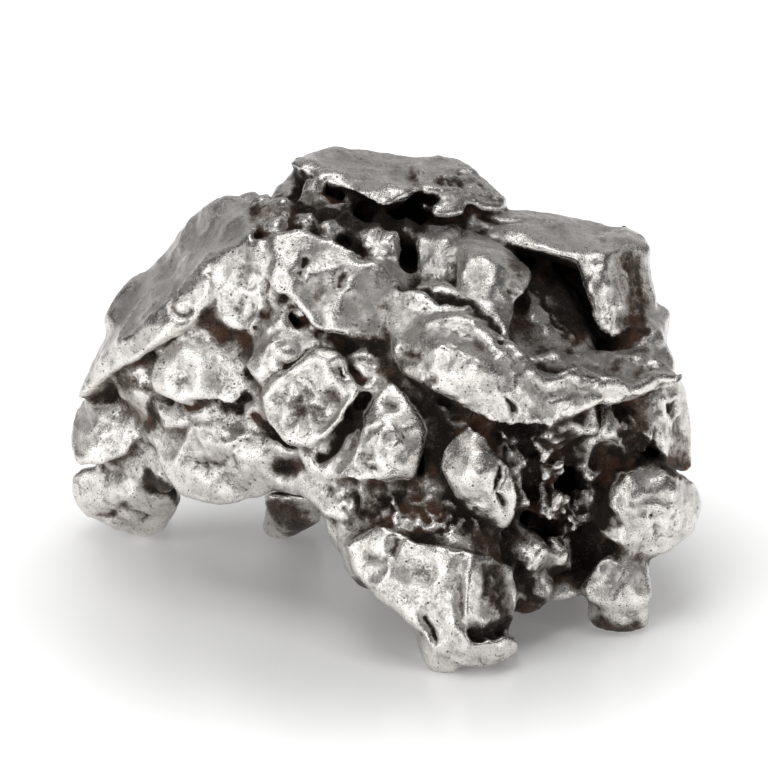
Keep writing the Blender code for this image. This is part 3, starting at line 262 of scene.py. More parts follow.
def add_left_lumps(stone):
    """The block-shaped crystals at the left, one over the other."""
    lump(stone, [(26.8, 31.2, 7.6), (28.5, 31.4, 8.2), (29.7, 33.2, 8.8), (30.0, 35.6, 8.8),
                 (27.5, 37.1, 8.2), (25.7, 38.6, 7.0), (24.3, 36.4, 6.6), (25.2, 33.9, 7.0),
                 (27.3, 34.4, 9.4)], 6.0, taper=0.8, rounding=0.7)
    lump(stone, [(15.4, 36.0, 1.4), (18.4, 33.3, 3.0), (21.6, 34.9, 5.0), (24.2, 36.8, 6.0),
                 (24.8, 38.8, 6.2), (23.6, 41.0, 5.8), (21.6, 39.8, 5.0), (18.0, 40.3, 3.0),
                 (15.4, 39.2, 1.0), (19.0, 37.2, 4.6)], 7.0, taper=0.8, rounding=0.7)
    lump(stone, [(15.4, 40.4, -0.6), (18.8, 40.3, 1.6), (18.9, 42.8, 1.4), (16.0, 43.3, -0.8)],
         5.0, rounding=0.5)
    lump(stone, [(9.8, 38.9, -9.6), (12.2, 39.6, -7.6), (14.7, 40.6, -6.4), (14.7, 42.2, -6.0),
                 (13.4, 44.4, -6.2), (12.4, 46.0, -7.4), (9.8, 46.6, -9.0), (7.6, 46.4, -10.6),
                 (6.7, 44.6, -11.6), (6.7, 41.2, -11.8), (7.6, 39.8, -11.0), (10.6, 42.4, -6.8)],
         11.0, taper=0.75, shift=(1.6, -1.0), rounding=0.9)
    lump(stone, [(8.4, 46.8, -14.0), (11.8, 46.6, -11.6), (13.2, 46.4, -10.6), (15.4, 47.8, -10.0),
                 (17.9, 49.4, -10.8), (17.2, 51.2, -12.4), (16.2, 53.2, -15.4), (14.5, 54.0, -18.0),
                 (11.0, 53.3, -17.4), (8.2, 51.9, -17.0), (6.6, 49.4, -16.4), (7.0, 47.6, -15.2),
                 (12.2, 50.0, -11.0)], 9.0, taper=0.75, shift=(1.4, -0.6), rounding=0.9)
    lump(stone, [(15.1, 44.0, -4.6), (18.6, 43.0, -0.6), (20.0, 40.1, 2.0), (21.7, 39.9, 3.2),
                 (24.3, 41.7, 5.0), (26.6, 42.4, 6.0), (29.0, 44.6, 6.6), (30.4, 46.6, 6.4),
                 (26.3, 49.9, 3.0), (23.0, 50.9, 0.4), (20.0, 50.4, -1.4), (18.0, 49.4, -2.6),
                 (16.2, 46.8, -3.8), (23.0, 45.4, 5.4)], 8.0, taper=0.8, rounding=0.8)
    lump(stone, [(26.2, 49.4, -7.0), (31.4, 49.6, -5.0), (31.8, 52.4, -9.0), (30.0, 53.0, -11.0),
                 (27.8, 53.5, -19.0), (26.6, 53.2, -14.0)], 7.0, taper=0.9, rounding=0.7)


def add_dish_and_blade(stone):
    """The round dish with a raised rim, and the three-cornered lumps under it."""
    lump(stone, [(25.7, 40.4, 6.8), (26.2, 38.8, 7.6), (28.0, 37.5, 9.0), (31.0, 36.6, 10.2),
                 (32.6, 40.6, 10.8), (31.6, 44.6, 10.4), (29.0, 44.4, 9.4), (26.4, 42.4, 7.6)],
         6.5, taper=0.85, rounding=0.6)
    lump(stone, [(29.4, 37.2, 9.6), (31.6, 35.2, 10.2), (33.6, 35.0, 10.6), (34.6, 36.0, 10.8),
                 (34.4, 37.4, 11.8), (35.6, 40.6, 11.8), (33.8, 43.2, 11.6), (31.4, 44.5, 10.6),
                 (30.0, 41.0, 10.4)], 6.5, taper=0.85, rounding=0.6)
    lump(stone, [(33.6, 37.4, 11.2), (34.8, 37.3, 11.6), (36.4, 38.7, 12.0), (35.8, 40.2, 12.2),
                 (34.0, 41.2, 11.8)], 5.0, taper=0.85, rounding=0.5)
    lump(stone, [(35.4, 38.6, 9.6), (38.2, 38.4, 10.4), (38.6, 41.6, 11.2), (35.4, 41.8, 10.4)],
         7.0, rounding=0.5)
    lump(stone, [(36.4, 38.8, 11.4), (38.6, 36.6, 10.0), (38.9, 37.4, 10.4), (36.8, 39.8, 11.6)],
         5.0, taper=0.8, rounding=0.3)
    lump(stone, [(38.9, 37.8, 11.2), (40.4, 39.2, 12.2), (42.4, 42.0, 13.2), (42.2, 44.0, 13.6),
                 (41.7, 46.4, 13.6), (41.6, 48.0, 13.4), (38.0, 48.2, 13.2), (35.0, 48.2, 12.6),
                 (33.4, 48.0, 11.6), (34.8, 45.6, 12.4), (36.6, 42.6, 13.0), (37.2, 40.2, 12.4),
                 (38.6, 43.2, 14.6), (39.6, 46.0, 14.4)], 7.0, taper=0.75, shift=(0.0, -1.0), rounding=0.6)
    lump(stone, [(29.4, 46.4, 7.0), (32.4, 46.6, 9.8), (34.4, 47.4, 11.4), (36.9, 48.4, 12.0),
                 (36.2, 50.0, 11.6), (34.4, 52.3, 10.6), (32.2, 51.6, 9.2), (30.0, 49.4, 7.2)],
         6.5, taper=0.8, rounding=0.6)
    lump(stone, [(32.0, 51.2, 7.4), (34.6, 52.0, 9.0), (35.4, 54.6, 10.0), (34.2, 55.4, 8.4),
                 (32.8, 53.2, 6.8)], 6.0, rounding=0.6)


def add_bulge(stone):
    """The big bulging lump at the middle, and the almond that hangs under it."""
    lump(stone, [(40.2, 33.2, 11.2), (41.8, 31.8, 11.6), (45.0, 31.2, 12.2), (47.2, 31.7, 13.2),
                 (49.8, 33.5, 14.6), (51.8, 34.6, 15.2), (52.3, 37.0, 15.8), (53.0, 39.0, 16.0),
                 (54.6, 42.6, 15.6), (49.8, 42.8, 15.8), (47.2, 40.4, 16.0), (45.6, 38.8, 15.6),
                 (42.2, 38.2, 14.0), (40.2, 37.2, 12.4), (44.4, 34.6, 16.0), (48.0, 36.6, 17.4),
                 (50.4, 39.8, 17.6)], 8.0, taper=0.8, rounding=1.0)
    lump(stone, [(45.0, 43.2, 15.0), (47.0, 42.2, 14.6), (48.6, 43.4, 15.2), (49.8, 45.4, 16.0),
                 (51.2, 47.4, 16.2), (51.9, 49.6, 15.8), (51.4, 52.0, 14.4), (50.6, 52.8, 13.8),
                 (49.2, 51.8, 15.0), (46.8, 51.2, 15.2), (45.2, 49.6, 15.2), (43.9, 46.8, 15.0),
                 (44.0, 44.8, 15.0), (47.4, 47.0, 17.8), (49.4, 49.4, 17.2)],
         6.0, taper=0.7, rounding=1.0)
    lump(stone, [(44.6, 41.0, 10.0), (50.0, 42.6, 12.0), (50.0, 46.0, 12.6), (45.4, 45.0, 12.0)],
         6.0, rounding=0.8)


def add_ledge(stone):
    """The wavy ledge that runs out to the right from the bulge."""
    lump(stone, [(52.2, 36.4, 14.4), (54.4, 38.3, 14.6), (57.4, 37.4, 13.2), (60.4, 38.5, 12.2),
                 (60.2, 40.0, 12.4), (57.6, 41.2, 13.6), (54.8, 43.0, 15.0), (52.6, 42.6, 15.2),
                 (55.0, 40.4, 15.6)], 6.0, taper=0.8, rounding=0.6)
    lump(stone, [(58.4, 36.9, 8.0), (61.6, 35.7, 6.0), (64.6, 34.4, 4.0), (66.0, 34.2, 2.6),
                 (67.6, 36.2, 3.6), (67.7, 38.0, 6.2), (64.2, 38.7, 8.8), (60.6, 38.7, 11.6),
                 (63.2, 39.7, 8.8), (60.0, 40.2, 11.4)], 6.0, taper=0.85, rounding=0.6)
    lump(stone, [(63.4, 36.8, 7.2), (65.6, 35.6, 6.0), (67.5, 36.6, 5.0), (67.4, 38.0, 6.0),
                 (64.6, 38.2, 8.2)], 4.0, rounding=0.6)
    lump(stone, [(53.0, 36.0, 9.6), (55.8, 36.0, 9.0), (56.4, 37.6, 11.0), (53.4, 37.8, 12.0)],
         4.0, rounding=0.5)


def add_right_top(stone):
    """The grey-topped blocks at the upper right, with a hollow between them."""
    lump(stone, [(41.2, 23.7, 5.8), (43.0, 22.0, -1.4), (44.6, 21.8, -1.6), (46.0, 22.5, 0.6),
                 (45.0, 23.8, 6.4), (44.9, 28.4, 7.6), (41.4, 28.4, 7.2), (43.0, 25.6, 7.4)],
         6.0, taper=0.9, rounding=0.4)
    lump(stone, [(46.3, 22.6, 0.4), (48.6, 23.8, 1.6), (51.2, 25.2, 3.6), (53.3, 27.4, 7.8),
                 (53.0, 29.8, 9.0), (50.4, 31.0, 9.9), (46.2, 29.8, 9.4), (45.8, 25.5, 8.4),
                 (49.4, 26.2, 9.2), (49.6, 29.0, 10.4)], 6.0, taper=0.85, rounding=0.45)
    lump(stone, [(42.0, 24.4, 2.6), (43.6, 22.4, -2.0), (46.6, 22.8, -1.0), (50.6, 25.6, 2.6),
                 (52.4, 28.8, 5.8), (50.4, 30.4, 7.8), (46.0, 29.2, 7.4), (42.4, 28.0, 5.0)],
         6.0, taper=0.85, rounding=0.5)
    lump(stone, [(48.0, 29.6, 9.2), (51.8, 29.6, 9.0), (51.6, 31.6, 10.0), (50.6, 33.8, 11.2),
                 (48.4, 31.6, 10.8)], 5.0, rounding=0.6)
    lump(stone, [(47.2, 20.6, -3.2), (51.6, 20.9, -4.8), (55.0, 21.7, -4.6), (59.4, 22.4, -4.0),
                 (61.6, 22.0, -5.0), (64.2, 23.0, -4.0), (64.8, 24.8, -1.0), (61.0, 25.2, 4.6),
                 (57.4, 25.8, 5.0), (52.0, 24.6, 3.0), (48.6, 23.6, 1.2)],
         2.4, taper=0.96, shift=(0.4, 1.2), rounding=0.6)
    lump(stone, [(60.6, 22.3, -3.6), (62.6, 22.0, -4.6), (64.4, 23.4, -3.4), (64.9, 25.0, -0.8),
                 (62.6, 24.2, 1.0), (60.8, 23.6, 0.0)], 4.0, rounding=1.0)
    lump(stone, [(57.6, 25.8, 4.8), (60.8, 25.0, 4.6), (64.8, 24.6, -1.0), (65.0, 26.8, -0.6),
                 (66.0, 30.4, 0.6), (65.6, 31.9, 1.0), (63.0, 33.0, 3.6), (61.0, 34.0, 5.2),
                 (59.8, 32.0, 5.6), (59.0, 29.4, 5.4), (60.0, 28.0, 6.0)],
         8.0, taper=0.85, rounding=0.8)
    lump(stone, [(53.0, 28.6, 2.6), (56.4, 28.0, 0.6), (58.6, 32.4, 2.0), (59.4, 34.6, 4.6),
                 (55.4, 34.8, 7.0), (52.6, 33.6, 7.4), (52.4, 30.6, 5.6)], 6.0, rounding=0.5)
    lump(stone, [(56.0, 34.6, 7.4), (58.6, 34.0, 6.4), (59.3, 36.4, 7.8), (56.6, 36.9, 9.0)],
         5.0, rounding=0.5)


def add_right_flank(stone):
    """The right end: the flank with a ring-shaped pit, the large end lump and the small nub."""
    lump(stone, [(65.8, 36.0, 1.0), (68.4, 38.4, 0.2), (69.4, 41.4, -1.6), (69.6, 44.0, -2.2),
                 (69.0, 47.2, -1.6), (66.4, 47.0, 3.0), (65.8, 44.0, 4.4), (66.2, 39.6, 4.8)],
         9.0, taper=0.8, shift=(-1.0, 0.0), rounding=0.9)
    lump(stone, [(63.2, 40.6, 4.4), (66.2, 39.8, 4.6), (66.4, 44.4, 4.2), (63.4, 44.4, 4.6)],
         5.0, rounding=0.8)
    lump(stone, [(60.4, 47.4, 5.4), (62.6, 45.3, 3.6), (66.0, 46.0, 3.0), (69.3, 48.2, 1.8),
                 (70.3, 50.2, 1.2), (69.6, 53.2, 2.0), (67.2, 54.8, 4.0), (65.2, 56.0, 5.6),
                 (62.0, 55.0, 7.2), (59.6, 53.6, 7.4), (59.0, 51.6, 7.0), (62.4, 48.0, 8.0),
                 (66.2, 47.8, 6.8), (68.4, 50.6, 5.4), (64.6, 51.8, 8.0)], 9.0, taper=0.8,
         shift=(-1.0, 0.0), rounding=0.6)
    lump(stone, [(57.9, 59.0, 6.6), (59.0, 56.2, 6.6), (60.4, 54.9, 6.6), (63.0, 56.0, 6.8),
                 (65.1, 56.4, 5.0), (65.0, 59.0, 5.0), (64.4, 60.8, 5.4), (61.0, 61.0, 7.0),
                 (58.6, 60.2, 6.8), (61.4, 58.2, 7.8)], 7.0, taper=0.85, shift=(0.0, -1.2), rounding=0.5)
    lump(stone, [(58.4, 60.2, 4.6), (61.0, 60.4, 6.6), (64.6, 60.6, 4.6), (64.4, 62.4, 3.6),
                 (62.4, 63.6, 4.2), (60.2, 63.4, 3.6), (58.9, 62.2, 3.4), (61.8, 62.4, 6.2)],
         5.0, taper=0.85, shift=(0.0, -0.6), rounding=0.7)


def add_hollow_walls(stone):
    """The dark lumps and thin ribs that line the large hollow at the lower right."""
    lump(stone, [(49.4, 43.2, 7.6), (53.0, 43.2, 7.6), (53.2, 46.6, 6.6), (50.6, 47.4, 7.0)],
         4.0, rounding=0.5)
    lump(stone, [(53.2, 44.6, 8.4), (53.9, 44.8, 8.4), (52.9, 47.6, 7.6), (52.2, 47.2, 7.4)],
         4.0, rounding=0.25)
    lump(stone, [(55.0, 43.2, 9.6), (55.6, 43.4, 9.6), (55.2, 45.8, 7.6), (53.8, 48.2, 6.4),
                 (53.2, 47.8, 6.0)], 5.0, rounding=0.25)
    lump(stone, [(55.6, 42.8, 8.0), (57.6, 43.2, 7.6), (57.2, 44.8, 7.0), (55.6, 44.6, 7.2)],
         4.0, rounding=0.5)
    lump(stone, [(57.4, 46.0, 3.6), (59.8, 45.6, 3.0), (60.2, 48.8, 3.4), (57.8, 49.2, 4.2)],
         4.0, rounding=0.6)
    lump(stone, [(54.0, 49.0, 4.6), (56.4, 48.2, 4.2), (58.4, 49.6, 4.0), (58.2, 53.0, 4.6),
                 (56.0, 53.6, 5.4), (54.0, 52.0, 5.4)], 5.0, rounding=0.6)
    lump(stone, [(50.8, 57.4, 10.6), (52.0, 56.2, 10.2), (54.4, 56.4, 9.0), (55.4, 58.2, 8.4),
                 (55.0, 60.2, 8.2), (53.4, 61.7, 8.4), (51.2, 61.4, 9.8), (52.8, 58.8, 11.0)],
         7.0, taper=0.9, rounding=0.7)
    lump(stone, [(54.6, 57.2, 5.0), (58.8, 56.4, 5.0), (59.0, 59.6, 5.2), (54.8, 60.4, 6.4)],
         6.0, rounding=0.6)


def add_front_foot(stone):
    """The large foot at the front, with its folded lip and its small side lobe."""
    lump(stone, [(34.3, 54.2, 12.6), (36.2, 53.4, 13.0), (37.6, 52.4, 13.4), (39.6, 53.2, 14.6),
                 (42.6, 54.3, 16.0), (45.4, 55.2, 17.0), (47.4, 55.2, 16.8), (46.8, 58.4, 17.6),
                 (46.4, 61.6, 17.6), (47.2, 64.4, 16.8), (46.2, 66.6, 15.4), (43.2, 64.8, 15.6),
                 (41.4, 61.8, 15.4), (38.6, 59.6, 14.0), (35.6, 57.6, 12.6)],
         8.0, taper=0.85, rounding=0.8)
    lump(stone, [(33.9, 54.4, 9.6), (35.4, 55.0, 11.8), (37.4, 57.4, 12.8), (37.8, 59.0, 11.8),
                 (36.0, 58.4, 9.8), (34.5, 56.4, 8.8)], 6.0, rounding=0.8)
    lump(stone, [(47.0, 55.4, 16.6), (49.0, 55.6, 14.8), (51.4, 56.4, 12.4), (51.6, 60.0, 12.2),
                 (50.6, 63.6, 13.4), (48.6, 63.8, 16.2), (46.6, 60.0, 17.2)],
         7.0, taper=0.85, rounding=0.6)
    lump(stone, [(45.4, 64.2, 16.4), (48.0, 63.8, 16.8), (50.4, 63.2, 15.6), (51.7, 63.6, 14.2),
                 (52.0, 65.0, 13.8), (50.8, 66.2, 14.0), (48.6, 66.6, 14.6), (46.2, 66.6, 15.2),
                 (46.6, 65.0, 16.4), (49.6, 64.6, 16.2)],
         5.0, taper=0.85, rounding=1.1)
    lump(stone, [(41.2, 61.8, 13.4), (43.0, 62.6, 14.8), (45.6, 64.8, 15.2), (46.0, 66.8, 14.6),
                 (44.8, 67.5, 13.8), (43.2, 67.1, 13.6), (41.8, 65.6, 13.4), (43.4, 65.0, 15.6)],
         5.0, taper=0.85, rounding=1.1)


def add_seams(stone):
    """The metal that closes the seams between neighbouring lumps, a little under their faces."""
    for depth, rounding, front in [
        (6.0, 0.9, [(24.4, 24.8, 6.8), (28.8, 23.8, 7.4), (30.0, 28.0, 9.2), (29.4, 31.6, 9.0),
                   (26.2, 32.6, 7.4), (24.4, 33.4, 6.6)]),
        (6.0, 0.8, [(17.6, 30.0, 3.8), (23.6, 27.0, 6.0), (26.4, 32.6, 7.0), (25.6, 37.6, 6.2),
                   (23.6, 37.2, 5.2), (18.0, 34.6, 2.8)]),
        (6.0, 0.8, [(26.4, 31.2, 7.2), (30.0, 32.6, 8.8), (34.6, 33.8, 9.0), (34.6, 36.6, 9.4),
                   (31.0, 37.0, 8.8), (26.6, 38.6, 6.8)]),
        (6.0, 0.8, [(22.6, 37.6, 5.0), (27.0, 38.0, 6.6), (27.4, 43.0, 7.0), (23.0, 43.2, 4.6),
                   (18.6, 41.4, 1.4)]),
        (6.0, 0.8, [(14.4, 39.6, -4.0), (18.6, 39.6, 1.0), (20.4, 42.4, 1.8), (16.4, 45.2, -2.4),
                   (14.2, 44.2, -5.0)]),
        (6.0, 0.8, [(12.4, 43.0, -7.4), (16.6, 45.2, -5.0), (17.4, 49.0, -6.6), (13.0, 48.0, -10.6)]),
        (6.0, 0.8, [(10.8, 37.0, -3.4), (15.8, 35.0, 0.6), (16.0, 40.6, -1.4), (12.0, 40.2, -5.6)]),
        (7.0, 0.9, [(38.8, 28.6, 8.8), (44.0, 28.2, 8.2), (50.2, 30.4, 9.8), (51.4, 34.4, 12.6),
                   (46.0, 32.6, 12.0), (40.6, 33.4, 10.6)]),
        (7.0, 1.0, [(37.6, 28.8, 9.4), (41.0, 29.6, 10.2), (44.0, 32.0, 12.0), (42.2, 36.8, 13.2),
                   (40.0, 37.0, 11.6), (38.8, 33.0, 9.8)]),
        (8.0, 0.8, [(24.6, 20.6, -0.4), (28.2, 18.8, -2.4), (34.0, 19.6, 0.2), (34.4, 23.6, 4.2),
                   (29.0, 23.2, 5.8), (25.0, 23.4, 5.2)]),
        (8.0, 0.8, [(32.0, 18.0, -3.0), (46.0, 18.0, -3.6), (46.0, 23.0, -2.6), (33.0, 23.6, -1.6)]),
        (8.0, 0.8, [(41.4, 20.2, 0.6), (46.8, 20.6, 0.0), (51.2, 21.4, -2.6), (48.2, 23.4, 0.6),
                   (43.6, 22.2, -1.4)]),
        (5.0, 0.8, [(52.4, 35.6, 12.2), (57.4, 37.6, 11.8), (60.4, 38.9, 11.2), (64.0, 38.8, 8.4),
                   (67.4, 37.8, 5.4), (66.0, 34.6, 2.2), (61.4, 36.0, 5.6), (57.0, 37.0, 9.0)]),
        (6.0, 0.8, [(52.6, 28.6, 4.8), (56.4, 27.6, 2.0), (59.4, 33.4, 4.4), (59.4, 36.6, 6.6),
                   (55.0, 37.0, 9.0), (52.4, 35.0, 10.6)]),
        (5.0, 0.7, [(46.0, 60.0, 15.4), (50.2, 62.6, 13.4), (51.0, 64.6, 13.6), (47.0, 66.0, 14.6)]),
        (6.0, 0.8, [(58.6, 52.0, 5.4), (65.0, 54.0, 4.8), (65.0, 57.6, 4.8), (59.0, 57.6, 5.6)]),
        (6.0, 0.7, [(26.0, 44.6, 5.4), (30.4, 44.4, 8.4), (33.0, 47.6, 9.4), (30.4, 49.6, 6.4),
                   (26.6, 48.8, 3.2)]),
        (7.0, 0.6, [(32.5, 39.5, 10.0), (36.8, 40.5, 11.4), (36.8, 44.0, 11.8), (34.4, 47.8, 11.0),
                   (31.0, 47.4, 9.0), (29.4, 44.4, 8.4)]),
        (6.0, 0.6, [(34.0, 33.2, 8.6), (38.6, 33.4, 9.2), (40.8, 37.4, 10.8), (39.2, 39.2, 11.0),
                   (36.4, 38.4, 9.8), (34.6, 36.0, 9.6)]),
        (7.0, 0.6, [(39.4, 36.6, 10.4), (42.6, 38.0, 12.2), (45.6, 42.2, 13.6), (44.8, 46.8, 12.6),
                   (42.6, 45.2, 12.4), (41.4, 40.8, 11.4)]),
        (8.0, 0.6, [(34.4, 48.8, 11.0), (39.0, 47.4, 11.8), (44.0, 47.4, 12.4), (49.0, 51.8, 12.6),
                   (50.6, 56.0, 12.6), (46.0, 54.8, 15.2), (39.4, 52.8, 13.2), (35.4, 52.6, 11.2)]),
        (7.0, 0.6, [(44.6, 42.0, 12.4), (50.6, 42.4, 13.0), (52.4, 46.4, 12.2), (52.2, 51.0, 11.8),
                   (47.0, 51.4, 12.2), (44.0, 47.0, 12.0)]),
        (7.0, 0.4, [(51.6, 27.4, 3.6), (54.4, 25.4, 0.4), (58.4, 29.8, 1.6), (59.8, 34.4, 3.4),
                   (57.0, 35.6, 6.0), (53.4, 31.6, 5.4)]),
        (7.0, 0.4, [(50.4, 31.6, 8.4), (53.6, 30.8, 5.6), (58.8, 36.2, 6.4), (55.4, 37.4, 10.6),
                   (52.2, 36.6, 12.2)]),
    ]:
        lump(stone, front, depth, rounding=rounding)


def add_gap_fills(stone):
    """Small pieces of metal at the bottom of the narrow gaps, so that no light comes through."""
    for depth, rounding, front in [
        (6.0, 0.5, [(50.4, 28.6, 5.4), (53.4, 29.0, 4.0), (54.2, 32.6, 6.0), (50.8, 33.2, 8.8)]),
        (6.0, 0.5, [(33.2, 50.6, 9.0), (37.2, 50.8, 10.8), (37.0, 54.2, 11.8), (34.0, 54.4, 9.6)]),
        (5.0, 0.5, [(45.8, 61.4, 16.6), (49.6, 62.0, 15.4), (50.0, 64.6, 15.2), (46.6, 64.6, 16.4)]),
        (6.0, 0.5, [(28.4, 17.2, -2.8), (31.2, 17.4, -1.8), (31.2, 19.6, 0.0), (28.6, 19.6, -0.8)]),
        (4.0, 0.4, [(44.4, 24.4, 6.0), (46.6, 24.8, 6.6), (46.8, 28.9, 8.6), (44.4, 28.3, 7.0)]),
        (6.0, 0.5, [(62.4, 39.2, 6.0), (66.6, 38.4, 4.6), (66.8, 41.6, 4.4), (62.6, 41.6, 5.2)]),
        (6.0, 0.5, [(43.4, 40.2, 13.0), (47.6, 41.0, 14.0), (49.8, 43.2, 13.6), (45.0, 43.8, 13.2)]),
        (6.0, 0.4, [(55.4, 53.2, 4.4), (59.4, 52.6, 4.0), (59.4, 57.0, 4.6), (55.4, 57.2, 5.0)]),
        (7.0, 0.5, [(64.4, 38.4, 2.0), (68.0, 39.6, 1.0), (68.2, 42.6, 0.0), (64.4, 42.2, 2.0)]),
        (6.0, 0.4, [(42.4, 44.8, 12.0), (45.4, 44.4, 12.6), (45.6, 48.8, 12.0), (42.2, 48.8, 12.0)]),
        (6.0, 0.4, [(50.2, 42.2, 12.0), (53.0, 42.4, 12.0), (53.0, 45.2, 11.0), (50.4, 45.6, 11.4)]),
        (6.0, 0.4, [(55.2, 46.6, 5.2), (58.0, 46.6, 4.8), (58.0, 49.6, 5.0), (55.2, 49.6, 5.2)]),
        (6.0, 0.4, [(52.4, 50.8, 6.4), (55.6, 50.6, 5.6), (55.8, 53.8, 5.4), (52.6, 54.0, 6.8)]),
    ]:
        lump(stone, front, depth, rounding=rounding)


def add_small_crystals(stone):
    """The small sharp crystals that roughen the large hollow and the gap under the top slab."""
    shuffle = random.Random(SEED)
    in_hollow = [
        (51.8, 44.6, 9.4), (54.4, 46.4, 8.2), (57.2, 44.6, 7.2), (60.0, 43.0, 6.4), (58.8, 47.2, 5.6),
        (54.2, 50.2, 8.0), (57.2, 51.4, 6.2), (52.4, 54.6, 9.6), (55.6, 55.2, 7.0), (59.6, 51.0, 4.6),
        (47.6, 52.6, 11.4), (43.6, 49.4, 11.2), (39.4, 49.6, 10.8), (63.0, 42.4, 4.6), (57.6, 41.8, 9.0),
        (54.8, 42.4, 10.6), (61.4, 45.6, 3.6), (50.6, 50.0, 10.6),
    ]
    under_slab = [
        (26.4, 20.6, 1.6), (28.4, 21.2, 3.4), (31.2, 19.0, 1.2), (33.8, 21.4, 3.8), (35.0, 22.8, 5.0),
        (30.6, 22.6, 5.0), (27.4, 22.6, 4.8), (38.6, 22.8, 2.2), (40.6, 23.2, 3.4), (35.4, 20.2, 0.4),
        (38.8, 24.6, 5.8), (33.0, 23.2, 5.6), (36.8, 23.8, 5.4),
    ]
    for places, least, most in ((in_hollow, 2.6, 5.0), (under_slab, 1.8, 3.4)):
        for place in places:
            size = [shuffle.uniform(least, most) for _ in range(3)]
            turn = [shuffle.uniform(-60.0, 60.0) for _ in range(3)]
            crystal(stone, seen(*place), size, turn, shuffle, rounding=0.25)


def add_hidden_sides(stone):
    """Blocks of the same crystals over the back, the left end and the underside."""
    shuffle = random.Random(SEED)
    places = [
        ((-14.5, 12.0, 31.0), (13, 8, 8), (14, -22, 32)),
        ((-3.0, 14.5, 34.0), (14, 9, 6), (-10, 12, -8)),
        ((7.5, 13.5, 30.0), (8, 8, 12), (6, 30, 12)),
        ((17.0, 11.0, 30.0), (13, 8, 6), (-16, 14, -20)),
        ((21.0, 8.5, 24.0), (8, 9, 10), (20, -12, 16)),
        ((-22.0, 9.5, 21.5), (9, 10, 14), (8, -28, 24)),
        ((-13.0, 14.5, 21.5), (10, 8, 8), (-14, 35, -20)),
        ((-3.5, 15.5, 25.5), (8, 9, 11), (12, -20, 30)),
        ((3.5, 16.0, 20.5), (8, 7, 8), (-24, 16, -34)),
        ((11.5, 15.0, 20.5), (14, 8, 9), (-10, -24, -18)),
        ((20.5, 9.5, 17.0), (9, 10, 9), (10, 22, 34)),
        ((-24.5, 10.5, 12.5), (8, 9, 8), (22, 10, -30)),
        ((-17.0, 13.5, 11.5), (12, 8, 7), (-12, -20, 12)),
        ((-7.0, 15.0, 14.5), (8, 9, 12), (8, 32, -16)),
        ((2.0, 14.0, 11.0), (9, 8, 8), (-20, -10, 28)),
        ((11.5, 12.5, 10.5), (9, 9, 11), (14, -30, 20)),
        ((20.0, 6.5, 9.5), (11, 8, 8), (-12, 18, -14)),
        ((-25.5, 13.5, 4.6), (8, 7, 8), (10, 14, 24)),
        ((4.5, 10.5, 4.8), (11, 8, 7), (-12, 12, 18)),
        ((16.0, 6.0, 4.8), (12, 8, 10.6), (4, -6, -12)),
        ((24.5, 3.5, 21.0), (7, 9, 18), (4, 6, -10)),
        ((23.5, 1.5, 11.5), (8, 9, 12), (-6, 4, 12)),
        ((-9.2, 15.2, 5.0), (6, 7, 9), (8, -6, 10)),
    ]
    for centre, size, turn in places:
        crystal(stone, centre, size, turn, shuffle)


